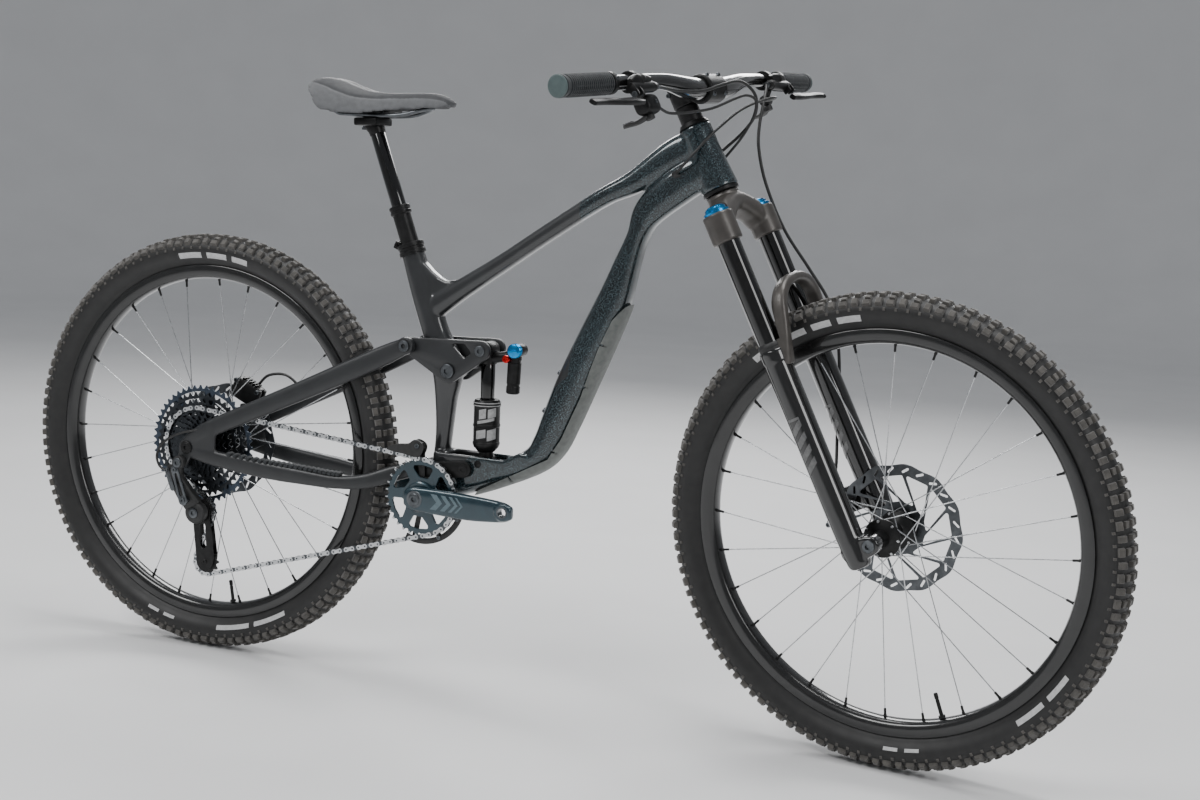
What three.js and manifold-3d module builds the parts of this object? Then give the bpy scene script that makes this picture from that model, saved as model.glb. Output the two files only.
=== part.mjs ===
// A full-suspension mountain bike as an assembly of named meshes, in millimetres.
// +X points forward, +Y to the rider's left and +Z up; the ground is z = 0.
// The chain, the cassette and the crank's driven side are on the right, at -Y.
import * as THREE from "three";
import { mergeVertices } from "three/addons/utils/BufferGeometryUtils.js";
import Module from "manifold-3d";

const wasm = await Module();
wasm.setup();

const { degToRad } = THREE.MathUtils;
const v = (x, y, z) => new THREE.Vector3(x, y, z);

// ---- Driving dimensions ----------------------------------------------------

const WHEEL_RADIUS = 374; // 29 inch wheels with their tyres
const TYRE_HALF_WIDTH = 31;
const RIM_INNER_RADIUS = 294;
const RIM_BED_RADIUS = 307;
const WHEELBASE = 1242;
const REAR_AXLE_BEHIND = 620; // rear axle to the origin under the bike's middle
const HEAD_ANGLE = degToRad(62.6);
const FORK_OFFSET = 44;
const STEER_ANGLE = degToRad(-8.9); // the bars are turned a little to the right
const CRANK_LENGTH = 168;
const ROTOR_RADIUS = 101.5;
const PEDAL_FACE_Y = 88;
const CHAIN_PITCH = 12.7;
const CHAIN_Y = -47.6;
const FIT = 0.4; // gap left between faces that touch

// Points of the side view, [x, z], measured from the ground under the rear axle.
const REAR_AXLE = [0, WHEEL_RADIUS];
const BOTTOM_BRACKET = [452, 337];
const ROCKER_PIVOT = [484, 552.5];
const SEATSTAY_PIVOT = [407.6, 588.7];
const SHOCK_TOP = [541.9, 591.4];
const SHOCK_BOTTOM = [546, 402];
const LINK_FRONT = [523, 391];
const LINK_REAR = [435, 380];
const SEAT_TUBE_TOP = [385, 757];
const SEAT_ANGLE = degToRad(68.6);
const JOCKEY_UPPER = [13.9, 257];
const JOCKEY_LOWER = [25, 166.5];

const pitchRadius = (teeth) => (teeth * CHAIN_PITCH) / (2 * Math.PI);
const RING_RADIUS = pitchRadius(32);
const COG_RADIUS = pitchRadius(33);
const JOCKEY_RADIUS = pitchRadius(12);

// ---- Solids ----------------------------------------------------------------

function signedVolume(position, index) {
  const corner = [v(0, 0, 0), v(0, 0, 0), v(0, 0, 0)];
  let sum = 0;
  for (let i = 0; i < index.length; i += 3) {
    corner.forEach((c, k) => c.fromArray(position, 3 * index[i + k]));
    sum += corner[0].dot(corner[1].clone().cross(corner[2]));
  }
  return sum / 6;
}

// A closed geometry as a solid with its faces outward.
function solid(geometry) {
  const bare = geometry.clone();
  bare.deleteAttribute("normal");
  bare.deleteAttribute("uv");
  const merged = mergeVertices(bare, 1e-4);
  const position = merged.attributes.position.array;
  const whole = [];
  for (let i = 0; i < merged.index.count; i += 3) {
    const [a, b, c] = merged.index.array.slice(i, i + 3);
    if (a !== b && b !== c && c !== a) whole.push(a, b, c);
  }
  if (signedVolume(position, whole) < 0) whole.reverse();
  const triVerts = new Uint32Array(whole);
  return new wasm.Manifold(new wasm.Mesh({ numProp: 3, vertProperties: position, triVerts }));
}

function geometryOf(made) {
  const mesh = made.getMesh();
  const position = new THREE.BufferAttribute(new Float32Array(mesh.vertProperties), 3);
  const geometry = new THREE.BufferGeometry().setAttribute("position", position);
  geometry.setIndex(new THREE.BufferAttribute(new Uint32Array(mesh.triVerts), 1));
  return geometry;
}

const join = (first, ...others) => others.reduce((sum, other) => sum.add(other), first);
const cut = (first, ...tools) => tools.reduce((left, tool) => left.subtract(tool), first);
const mirrored = (made) => solid(geometryOf(made).scale(1, -1, 1));

function pair(made) {
  return [made, mirrored(made)];
}

// A profile of [radius, height] points turned about the line from origin along direction.
function turned(profile, origin, direction, segments = 16) {
  const points = profile.map(([r, h]) => new THREE.Vector2(r, h));
  const geometry = new THREE.LatheGeometry([...points, points[0]], segments);
  const toAxis = new THREE.Quaternion().setFromUnitVectors(v(0, 1, 0), direction.clone().normalize());
  geometry.applyQuaternion(toAxis);
  geometry.translate(origin.x, origin.y, origin.z);
  return solid(geometry);
}

function rod(from, to, radius, sides = 12, endRadius = radius) {
  const along = to.clone().sub(from);
  const profile = [[0, 0], [radius, 0], [endRadius, along.length()], [0, along.length()]];
  return turned(profile, from, along, sides);
}

// A disc across the bike at a point of the side view, from y = low to y = high.
function disc([x, z], low, high, radius, sides = 14) {
  return rod(v(x, low, z), v(x, high, z), radius, sides);
}

function box(low, high) {
  const size = high.clone().sub(low);
  const middle = low.clone().add(high).multiplyScalar(0.5);
  return solid(new THREE.BoxGeometry(size.x, size.y, size.z).translate(middle.x, middle.y, middle.z));
}

// An outline in the side view, [x, z] points, as a plate from y = low to y = high.
function plate(outline, low, high) {
  const shape = new THREE.Shape(outline.map(([x, z]) => new THREE.Vector2(x, z)));
  const geometry = new THREE.ExtrudeGeometry(shape, { depth: high - low, bevelEnabled: false });
  geometry.rotateX(Math.PI / 2);
  return solid(geometry.translate(0, high, 0));
}

// The outline stretched around circles of the side view, [x, z, radius], anticlockwise.
function outlineAround(circles, arcSteps = 4) {
  const normalAngle = ([ax, az, ra], [bx, bz, rb]) =>
    Math.atan2(bz - az, bx - ax) - Math.PI / 2 + Math.asin((ra - rb) / Math.hypot(bx - ax, bz - az));
  const points = [];
  circles.forEach((circle, i) => {
    const before = circles[(i + circles.length - 1) % circles.length];
    const after = circles[(i + 1) % circles.length];
    const start = normalAngle(before, circle);
    let sweep = normalAngle(circle, after) - start;
    while (sweep <= 0) sweep += 2 * Math.PI;
    while (sweep > 2 * Math.PI) sweep -= 2 * Math.PI;
    const [x, z, radius] = circle;
    for (let k = 0; k <= arcSteps; k += 1) {
      const turn = start + (sweep * k) / arcSteps;
      points.push([x + radius * Math.cos(turn), z + radius * Math.sin(turn)]);
    }
  });
  return points;
}

const link = (a, ra, b, rb, low, high) => plate(outlineAround([[...a, ra], [...b, rb]], 5), low, high);

// A ring of points, [up, side], with rounded corners: a power of 2 is an ellipse.
function roundedSection(halfUp, halfSide, sides, power) {
  const bend = (value) => Math.sign(value) * Math.abs(value) ** (2 / power);
  return Array.from({ length: sides }, (_, i) => {
    const turn = ((i + 0.5) / sides) * 2 * Math.PI;
    return [halfUp * bend(Math.cos(turn)), halfSide * bend(Math.sin(turn))];
  });
}

// A skin through rings of points that have the same count. Each end is closed by a cap
// cut from its flat outline, [up, side].
function loft(rings, startOutline, endOutline) {
  const count = startOutline.length;
  const position = rings.flat().flatMap((point) => point.toArray());
  const index = [];
  for (let k = 0; k + 1 < rings.length; k += 1) {
    for (let i = 0; i < count; i += 1) {
      const next = (i + 1) % count;
      const [a, b, c, d] = [k * count + i, k * count + next, (k + 1) * count + next, (k + 1) * count + i];
      index.push(a, b, c, a, c, d);
    }
  }
  const flat = (outline) => outline.map(([up, side]) => new THREE.Vector2(up, side));
  const last = (rings.length - 1) * count;
  for (const [a, b, c] of THREE.ShapeUtils.triangulateShape(flat(startOutline), [])) index.push(c, b, a);
  for (const [a, b, c] of THREE.ShapeUtils.triangulateShape(flat(endOutline), [])) {
    index.push(last + a, last + b, last + c);
  }
  const geometry = new THREE.BufferGeometry();
  geometry.setAttribute("position", new THREE.BufferAttribute(new Float32Array(position), 3));
  return solid(geometry.setIndex(index));
}

// A limb whose section changes along a smooth line. A station is
// [x, y, z, half height, half width]; the width runs along the side direction.
function limb(stations, options = {}) {
  const { sides = 10, steps = 10, power = 2.4, side = v(0, 1, 0), section = roundedSection } = options;
  const middle = new THREE.CatmullRomCurve3(stations.map(([x, y, z]) => v(x, y, z)));
  const sizes = new THREE.CatmullRomCurve3(stations.map(([, , , up, wide]) => v(up, wide, 0)));
  middle.curveType = "catmullrom";
  sizes.curveType = "catmullrom";
  const outlines = [];
  const rings = [];
  for (let k = 0; k <= steps; k += 1) {
    const at = middle.getPoint(k / steps);
    const along = middle.getTangent(k / steps);
    const across = side.clone().addScaledVector(along, -side.dot(along)).normalize();
    const up = across.clone().cross(along);
    const size = sizes.getPoint(k / steps);
    const outline = section(size.x, size.y, sides, power);
    outlines.push(outline);
    rings.push(outline.map(([a, b]) => at.clone().addScaledVector(up, a).addScaledVector(across, b)));
  }
  return loft(rings, outlines[0], outlines[steps]);
}

// A cord or hose: a round section drawn along a smooth line through hand-placed points.
function hose(points, diameter, steps) {
  const circle = new THREE.Shape().absarc(0, 0, diameter / 2, 0, 2 * Math.PI);
  const path = new THREE.CatmullRomCurve3(points.map(([x, y, z]) => v(x, y, z)));
  const options = { steps, curveSegments: 4, bevelEnabled: false, extrudePath: path };
  return solid(new THREE.ExtrudeGeometry(circle, options));
}

// ---- Materials and the scene graph -------------------------------------------

const material = (color, roughness, metalness) =>
  new THREE.MeshStandardMaterial({ color, roughness, metalness });
const flakePaint = material(0x10181a, 0.25, 0.5);
const greyPaint = material(0x34383a, 0.45, 0.3);
const blackAlloy = material(0x111214, 0.4, 0.7);
const blackPlastic = material(0x17181a, 0.6, 0);
const guardRubber = material(0x56574f, 0.85, 0);
const tyreRubber = material(0x1c1b1a, 0.9, 0);
const rimBlack = material(0x0e0f10, 0.35, 0.4);
const bareSteel = material(0x9a9c9e, 0.3, 1);
const darkSteel = material(0x3c3f44, 0.4, 1);
const crankBlue = material(0x12313c, 0.3, 0.3);
const stanchionBlack = material(0x0a0a0b, 0.12, 0.6);
const crownGrey = material(0x4a4643, 0.45, 0.5);
const lowersBlack = material(0x08090a, 0.2, 0.3);
const anodisedBlue = material(0x1580c4, 0.3, 0.8);
const gripRubber = material(0x2b2d2f, 0.85, 0);
const saddleCover = material(0x26282a, 0.7, 0);
const hoseBlack = material(0x202224, 0.5, 0);

const bike = new THREE.Group();
const frameSpace = new THREE.Group(); // its origin is on the ground under the rear axle
frameSpace.position.x = -REAR_AXLE_BEHIND;
bike.add(frameSpace);

// The steered parts' own space: z runs up the steering axis, x forward from it, and the
// front axle is FORK_OFFSET in front of its origin.
const steeringAxisSpace = new THREE.Group();
const forward = v(Math.sin(HEAD_ANGLE), 0, Math.cos(HEAD_ANGLE));
const upAxis = v(-Math.cos(HEAD_ANGLE), 0, Math.sin(HEAD_ANGLE));
const steeringOrigin = v(WHEELBASE, 0, WHEEL_RADIUS).addScaledVector(forward, -FORK_OFFSET);
steeringAxisSpace.position.copy(steeringOrigin);
steeringAxisSpace.rotation.y = HEAD_ANGLE - Math.PI / 2;
frameSpace.add(steeringAxisSpace);
const steered = new THREE.Group();
steered.rotation.z = STEER_ANGLE;
steeringAxisSpace.add(steered);
const frontWheelSpace = new THREE.Group();
frontWheelSpace.position.x = FORK_OFFSET;
steered.add(frontWheelSpace);
const rearWheelSpace = new THREE.Group();
rearWheelSpace.position.set(REAR_AXLE[0], 0, REAR_AXLE[1]);
frameSpace.add(rearWheelSpace);

function place(name, made, look, space = frameSpace) {
  const mesh = new THREE.Mesh(geometryOf(made), look);
  mesh.name = name;
  space.add(mesh);
}

// ---- Frame -------------------------------------------------------------------

const HEAD_BOTTOM = 592;
const HEAD_TOP = 698;
const onSteeringAxis = (along) => steeringOrigin.clone().addScaledVector(upAxis, along);
const seatUp = v(-Math.cos(SEAT_ANGLE), 0, Math.sin(SEAT_ANGLE));
const seatTop = v(SEAT_TUBE_TOP[0], 0, SEAT_TUBE_TOP[1]);
const onSeatAxis = (along) => seatTop.clone().addScaledVector(seatUp, along);
const SEAT_CLAMP_LENGTH = 20;
const SEAT_BORE = 15.7;
const BRACKET_HALF_WIDTH = 36.5;
const CRADLE_INNER = 22;
const CRADLE_OUTER = 30;
const PIVOT_BORE = 8.3;

const DOWN_TUBE = [
  [905, 0, 910, 29, 24], [860, 0, 880, 30, 24], [815, 0, 838, 25, 23], [798, 0, 798, 17, 23],
  [782, 0, 751, 21, 24], [764, 0, 694, 27, 26], [735, 0, 625, 30, 28], [705, 0, 554, 31, 29],
  [680, 0, 489, 29, 30], [662, 0, 446, 26, 30], [636, 0, 416, 21, 30], [563, 0, 379, 18, 29],
  [500, 0, 356, 18, 29], [455, 0, 340, 18, 30],
];
// The guard's seam along the tube's side, then round outside the tube.
const GUARD_OUTLINE = [
  [815, 704], [790, 684], [772, 662], [754, 621], [739, 579], [724, 532], [694, 460], [672, 424],
  [624, 398], [549, 358], [536, 346], [540, 310], [700, 340], [790, 460], [850, 620], [850, 704],
];

function seatTubeSolid() {
  return limb([
    [385, 0, 757, 18.5, 18.5], [393, 0, 737, 19, 18.5], [417, 0, 676, 23, 18.5], [441, 0, 613, 23, 19],
    [466, 0, 556, 28, 21], [467, 0, 500, 19, 17], [466, 0, 440, 14, 15], [462, 0, 392, 14, 15],
    [455, 0, 345, 16, 18],
  ], { steps: 11, sides: 10 });
}

// The down tube, or a skin a little outside it.
function downTubeSolid(offset = 0) {
  const stations = DOWN_TUBE.map(([x, y, z, up, wide]) => [x, y, z, up + offset, wide + offset]);
  return limb(stations, { sides: 12, steps: 14, power: 2.6 });
}

function downTubeGuard() {
  return cut(downTubeSolid(4.6).intersect(plate(GUARD_OUTLINE, -50, 50)), downTubeSolid(0.6));
}

function mainFrame() {
  const downTube = downTubeSolid();
  const topTube = limb([
    [898, 0, 950, 26, 20], [853, 0, 929, 26, 20], [787, 0, 883, 19, 20], [734, 0, 855, 15, 19],
    [641, 0, 793, 14, 18], [562, 0, 738, 14.5, 18], [490, 0, 690, 17, 18], [440, 0, 655, 20, 17],
    [425, 0, 640, 14, 14],
  ], { steps: 10, sides: 10, power: 2.6 });
  const headTube = rod(onSteeringAxis(HEAD_BOTTOM), onSteeringAxis(HEAD_TOP), 30.5, 20, 25);
  const gusset = plate([
    [400, 700], [408, 736], [420, 726], [432, 715], [446, 706], [462, 700], [490, 706], [470, 670], [430, 660],
  ], -12, 12);
  const bracketShell = disc(BOTTOM_BRACKET, -BRACKET_HALF_WIDTH, BRACKET_HALF_WIDTH, 25, 18);
  const pivotBoss = disc(ROCKER_PIVOT, -23.6, 23.6, 15);
  const cradleOutline = [
    [462, 414], [592, 414], [622, 430], [640, 425], [604, 396], [545, 365], [480, 342], [466, 350],
  ];
  const cradle = pair(plate(cradleOutline, CRADLE_INNER, CRADLE_OUTER));
  const web = box(v(460, -CRADLE_OUTER, 384), v(480, CRADLE_OUTER, 414));
  const body = join(
    downTube, topTube, seatTubeSolid(), headTube, gusset, bracketShell, pivotBoss, ...cradle, web,
  );
  const clampSpace = turned(
    [[18.7, -SEAT_CLAMP_LENGTH - FIT], [45, -SEAT_CLAMP_LENGTH - FIT], [45, 30], [18.7, 30]],
    seatTop, seatUp,
  );
  const bothSides = 60;
  return cut(
    body,
    clampSpace,
    rod(onSeatAxis(-205), onSeatAxis(20), SEAT_BORE, 16),
    rod(onSteeringAxis(HEAD_BOTTOM - 10), onSteeringAxis(HEAD_TOP + 10), 20, 16),
    disc(BOTTOM_BRACKET, -bothSides, bothSides, 21.5, 16),
    disc(ROCKER_PIVOT, -bothSides, bothSides, PIVOT_BORE),
    disc(LINK_FRONT, -bothSides, bothSides, PIVOT_BORE),
    disc(SHOCK_BOTTOM, -bothSides, bothSides, 6.5),
    disc(SHOCK_BOTTOM, -CRADLE_INNER + 0.2, CRADLE_INNER - 0.2, 17),
  );
}

place("main_frame", mainFrame(), flakePaint);
place("down_tube_guard", downTubeGuard(), guardRubber);

const lowerCup = [[15.5, -6], [29, -6], [29, -FIT], [19.6, -FIT], [19.6, 14], [15.5, 14]];
place("headset_lower_cup", turned(lowerCup, onSteeringAxis(HEAD_BOTTOM), upAxis), blackAlloy);

function seatClamp() {
  const ring = turned([[19.1, -19.6], [22.6, -19.6], [22.6, 0], [19.1, 0]], seatTop, seatUp);
  const lug = box(v(361, -7, 747), v(367, 7, 759));
  return join(ring, lug);
}
place("seat_clamp", seatClamp(), blackAlloy);

const bracketProfile = [
  [15.3, -43], [23.5, -43], [23.5, -36.9], [20.8, -36.9], [20.8, 36.9], [23.5, 36.9], [23.5, 43], [15.3, 43],
];
const acrossAt = ([x, z]) => v(x, 0, z);
const across = v(0, 1, 0);
place("bottom_bracket", turned(bracketProfile, acrossAt(BOTTOM_BRACKET), across), blackAlloy);

const axleProfile = [[0, -38], [12, -38], [12, -33.5], [7.9, -33.5], [7.9, 33.5], [12, 33.5], [12, 38], [0, 38]];
place("rocker_axle", turned(axleProfile, acrossAt(ROCKER_PIVOT), across), darkSteel);

// ---- Seatpost and saddle -------------------------------------------------------

const POST_COLLAR = 66;
const outerPost = [[13.1, -185], [15.3, -185], [15.3, 52], [18, 52], [18, POST_COLLAR], [13.1, POST_COLLAR]];
place("dropper_outer", turned(outerPost, seatTop, seatUp), blackAlloy);

function dropperStanchion() {
  const post = rod(onSeatAxis(-50), onSeatAxis(198), 12.7, 20);
  const neck = rod(onSeatAxis(193), onSeatAxis(206), 15, 14, 13);
  const cradle = box(v(282, -28, 950), v(326, 28, 964.1));
  const middle = box(v(290, -14, 956), v(318, 14, 978));
  const clampPlate = box(v(288, -28, 971.9), v(320, 28, 977));
  return join(post, neck, cradle, middle, clampPlate);
}
place("dropper_stanchion", dropperStanchion(), blackAlloy);

const RAIL_SPREAD = 22;
function saddleRails() {
  const half = [
    [222, 34, 988], [232, 31, 981], [248, RAIL_SPREAD + 2, 970], [262, RAIL_SPREAD, 968],
    [300, RAIL_SPREAD, 968], [340, RAIL_SPREAD, 968], [372, 20, 971], [400, 14, 979], [414, 6, 983],
  ];
  const otherHalf = half.map(([x, y, z]) => [x, -y, z]).reverse();
  return hose([...half, [417, 0, 984], ...otherHalf], 7, 22);
}
place("saddle_rails", saddleRails(), darkSteel);

// The saddle's section is an arch: [0, 0] is the middle of its top.
function archSection(height, halfWidth, sides) {
  const points = [];
  const thickness = 11;
  for (const [inset, direction] of [[0, 1], [thickness, -1]]) {
    for (let i = 0; i < sides; i += 1) {
      const across01 = direction * (1 - (2 * i) / (sides - 1));
      const side = across01 * (halfWidth - inset * 0.25);
      const droop = Math.abs(across01) ** 2.4 * (height - inset * 0.9);
      points.push([droop + inset, side]);
    }
  }
  return points;
}
const saddleStations = [
  [190, 0, 1010, 14, 40], [199, 0, 1017, 26, 52], [208, 0, 1022, 35, 62], [225, 0, 1025, 46, 69], [262, 0, 1019, 50, 70],
  [300, 0, 1011, 40, 52], [345, 0, 1006, 30, 32], [395, 0, 1004, 24, 23], [440, 0, 1000, 20, 19],
  [456, 0, 996, 15, 14], [462, 0, 992, 10, 8],
];
place("saddle", limb(saddleStations, { sides: 8, steps: 12, section: archSection }), saddleCover);

// ---- Rocker, links, shock and swingarm -------------------------------------------

const ROCKER_INNER = 24;
const ROCKER_OUTER = 33;

function rockerLink() {
  const corners = [[...SEATSTAY_PIVOT, 14], [...ROCKER_PIVOT, 20], [...SHOCK_TOP, 17]];
  const side = plate(outlineAround(corners), ROCKER_INNER, ROCKER_OUTER);
  const window = plate([[496, 596], [519, 596], [516, 581], [494, 574]], 20, 40);
  const bore = disc(ROCKER_PIVOT, 20, 40, PIVOT_BORE);
  const stayPin = disc(SEATSTAY_PIVOT, 30, 50, 6, 14);
  const pinHead = disc(SEATSTAY_PIVOT, 47.6, 51, 9, 14);
  const shockSpacer = disc(SHOCK_TOP, 15.5, ROCKER_INNER + 1, 9, 14);
  const half = join(cut(side, window, bore), stayPin, pinHead, shockSpacer);
  const shockPin = disc(SHOCK_TOP, -20, 20, 4.5, 12);
  const bridge = box(v(505, -25, 556), v(517, 25, 570));
  return join(...pair(half), shockPin, bridge);
}
place("rocker_link", rockerLink(), greyPaint);

function lowerLink() {
  const arm = link(LINK_REAR, 13, LINK_FRONT, 14, 31, 38.6);
  const rearPin = disc(LINK_REAR, 18.5, 33, 6.5, 14);
  return join(...pair(join(arm, rearPin)), disc(LINK_FRONT, -33, 33, 7.8));
}
place("lower_link", lowerLink(), blackAlloy);

const shockFoot = acrossAt(SHOCK_BOTTOM);
const shockUp = acrossAt(SHOCK_TOP).sub(shockFoot).normalize();
const onShock = (along) => shockFoot.clone().addScaledVector(shockUp, along);

function shockCan() {
  const can = turned([[12.8, 33], [0, 33], [0, 14], [14, 18], [23, 30], [23, 100], [20, 106], [12.8, 106]],
    shockFoot, shockUp);
  const lug = disc(SHOCK_BOTTOM, -20, 20, 12);
  const neck = rod(onShock(0), onShock(20), 12, 16);
  const trunnion = disc(SHOCK_BOTTOM, -CRADLE_OUTER + 0.4, CRADLE_OUTER - 0.4, 6.1, 14);
  return join(can, lug, neck, trunnion);
}
place("shock_can", shockCan(), blackAlloy);

const DIAL_CENTRE = [599.7, 596];
function shockDamper() {
  const shaft = rod(onShock(92), onShock(172), 12, 14);
  const head = rod(onShock(166), onShock(180), 14.5, 14);
  const eyelet = disc(SHOCK_TOP, -15, 15, 14);
  const bridge = limb([[548, 0, 578, 10, 11], [570, 0, 582, 9, 11], [592, 0, 586, 11, 12]], { steps: 2, sides: 8 });
  const reservoir = rod(v(590, 0, 522), v(591, 0, 590), 11.5, 14);
  const dialSeat = disc(DIAL_CENTRE, -15.4, 8, 11, 12);
  return cut(join(shaft, head, eyelet, bridge, reservoir, dialSeat), disc(SHOCK_TOP, -20, 20, 8.4));
}
place("shock_damper", shockDamper(), blackAlloy);
place("shock_dial", disc(DIAL_CENTRE, -26, -15.8, 12, 18), anodisedBlue);

const DROPOUT_INNER = 74.5;
const DROPOUT_OUTER = 82;

function swingarmSide() {
  const seatstay = limb([
    [-2, 78, 384, 11, 4], [40, 76.5, 409, 15, 6], [120, 67, 448, 16, 8], [220, 56, 496, 17, 9],
    [310, 47, 540, 18, 8.5], [372, 41.5, 571, 17, 7], [407, 41, 588.5, 14, 6],
  ], { steps: 8, sides: 8, power: 2.8 });
  const chainstay = limb([
    [-2, 78, 368, 11, 4], [60, 76.5, 360, 14, 6.5], [150, 70, 351, 15, 8], [225, 63, 347, 14, 9],
    [290, 54, 344, 12, 8.5], [340, 46, 350, 13, 7.5], [385, 30.5, 366, 14, 7], [420, 26, 377, 13, 6],
    [436, 24, 380, 12, 6],
  ], { steps: 11, sides: 8, power: 2.8 });
  const dropoutCorners = [[...REAR_AXLE, 17], [45, 366, 13], [45, 411, 13]];
  const dropout = plate(outlineAround(dropoutCorners, 3), DROPOUT_INNER, DROPOUT_OUTER);
  const stayLug = disc(SEATSTAY_PIVOT, 34, 47, 15);
  const linkLug = disc(LINK_REAR, 18.5, 30.2, 14);
  return cut(
    join(seatstay, chainstay, dropout, stayLug, linkLug),
    disc(REAR_AXLE, 60, 100, 6.4),
    disc(SEATSTAY_PIVOT, 20, 60, 6.5, 14),
    disc(LINK_REAR, 10, 50, 10.2),
    disc(LINK_REAR, 30.4, 60, 17),
    disc(REAR_AXLE, 40, DROPOUT_INNER, 20),
  );
}

function swingarm() {
  const hanger = link(REAR_AXLE, 15, [-10, 347], 11, -DROPOUT_OUTER, -DROPOUT_INNER);
  const caliperMount = box(v(12, 58, 420), v(62, 71, 439));
  const upperBridge = disc([338, 562], -46, 46, 7, 14);
  const lowerBridge = disc([400, 371], -36, 36, 8, 14);
  const drilled = cut(hanger, disc(REAR_AXLE, -100, -60, 6.4));
  return join(...pair(swingarmSide()), drilled, caliperMount, upperBridge, lowerBridge);
}
place("swingarm", swingarm(), greyPaint);

const rearAxleProfile = [[0, -86], [9, -86], [9, -82.4], [5.9, -82.4], [5.9, 84], [0, 84]];
place("rear_axle", turned(rearAxleProfile, acrossAt(REAR_AXLE), across), blackAlloy);

// ---- Wheels ---------------------------------------------------------------------

const WHEEL_SEGMENTS = 32;
const SPOKES_PER_FLANGE = 14;
const FLANGE_RADIUS = 27;
const SPOKE_RADIUS = 1.1;
const SPOKE_CROSSINGS = 3;
const SPOKE_OFFSET = 1.4;
const SPOKE_END_GAP = 2;
const wheelCentre = v(0, 0, 0);

function tyre() {
  const w = TYRE_HALF_WIDTH;
  const half = [[WHEEL_RADIUS, 10], [WHEEL_RADIUS - 8, w - 5], [343, w], [319, 14.4], [RIM_BED_RADIUS + 1, 14.4]];
  const inside = [[RIM_BED_RADIUS + 1, 11], [352, w - 7]];
  const right = [...half, ...inside].map(([r, y]) => [r, -y]);
  return turned([...half, ...inside, ...right.reverse()], wheelCentre, across, WHEEL_SEGMENTS);
}

function rim() {
  const half = [[RIM_BED_RADIUS, 14.8], [318, 14.8], [318, 17.6], [303, 17.2], [RIM_INNER_RADIUS, 7]];
  const right = half.map(([r, y]) => [r, -y]).reverse();
  return turned([...half, ...right], wheelCentre, across, WHEEL_SEGMENTS);
}

// Crossed spokes: each leaves its flange almost along a tangent, and the two ways of
// crossing lie side by side without touching.
function spokes(flangeY, rimY, phase) {
  const spacing = (2 * Math.PI) / SPOKES_PER_FLANGE;
  const at = (radius, turn, y) => v(radius * Math.cos(turn), y, radius * Math.sin(turn));
  return Array.from({ length: SPOKES_PER_FLANGE }, (_, i) => {
    const hole = (i + phase) * spacing;
    const way = i % 2 ? -1 : 1;
    const nipple = hole + way * SPOKE_CROSSINGS * spacing;
    const apart = way * SPOKE_OFFSET;
    const hubEnd = at(FLANGE_RADIUS, hole, flangeY + apart);
    return rod(hubEnd, at(RIM_INNER_RADIUS - SPOKE_END_GAP, nipple, rimY + apart), SPOKE_RADIUS, 3);
  });
}

function hub(profile, flanges) {
  const shell = turned(profile, wheelCentre, across, 12);
  return join(shell, ...spokes(flanges[0], -2, 0), ...spokes(flanges[1], 2, 0.5));
}

function rotor() {
  const half = 1;
  const low = 41 - half;
  const high = 41 + half;
  const inner = ROTOR_RADIUS - 15;
  const ring = turned([[inner, low], [ROTOR_RADIUS, low], [ROTOR_RADIUS, high], [inner, high]],
    wheelCentre, across, 24);
  const carrier = turned([[13, low], [27, low], [27, high], [13, high]], wheelCentre, across, 12);
  const arms = Array.from({ length: 6 }, (_, i) => {
    const turn = (i / 6) * 2 * Math.PI;
    const lean = turn + 0.35;
    const root = [24 * Math.cos(turn), 24 * Math.sin(turn), 4];
    const tip = [(inner + 3) * Math.cos(lean), (inner + 3) * Math.sin(lean), 3];
    return plate(outlineAround([root, tip], 2), low, high);
  });
  return join(ring, carrier, ...arms);
}

const frontHubProfile = [
  [8, -53], [12, -53], [14, -36], [30, -32], [30, -28], [14, -22], [14, 22], [30, 28], [30, 32],
  [20, 39.5], [12, 39.5], [12, 53], [8, 53],
];
const rearHubProfile = [
  [6.4, -74], [10, -74], [17, -72], [17, -26], [30, -22], [30, -18], [14, -14], [14, 25],
  [30, 29], [30, 33], [20, 39.5], [12, 39.5], [12, 74], [6.4, 74],
];
place("front_hub", hub(frontHubProfile, [-30, 30]), blackAlloy, frontWheelSpace);
place("rear_hub", hub(rearHubProfile, [-20, 31]), blackAlloy, rearWheelSpace);
for (const [end, space] of [["front", frontWheelSpace], ["rear", rearWheelSpace]]) {
  place(`${end}_rim`, rim(), rimBlack, space);
  place(`${end}_tyre`, tyre(), tyreRubber, space);
  place(`${end}_rotor`, rotor(), bareSteel, space);
}

const cassetteProfile = [
  [17.4, -71.6], [21, -71.6], [40, -58], [60, -50], [60, -44.2], [88, -40], [103, -36], [103, -33],
  [60, -31], [17.4, -31],
];
place("cassette", turned(cassetteProfile, wheelCentre, across, 20), darkSteel, rearWheelSpace);

// A caliper straddles the edge of a rotor: its slot is wider than the disc.
function caliper(centre, turn, low, high) {
  const body = box(v(ROTOR_RADIUS - 24, low, -30), v(ROTOR_RADIUS + 17, high, 30));
  const slot = box(v(0, 38.6, -40), v(ROTOR_RADIUS + 4, 43.4, 40));
  const geometry = geometryOf(cut(body, slot)).rotateY(-turn);
  return solid(geometry.translate(centre[0], 0, centre[1]));
}
place("rear_caliper", caliper(REAR_AXLE, degToRad(66), 31.6, 57.6), blackAlloy);

// ---- Cranks and chain ---------------------------------------------------------------

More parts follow.
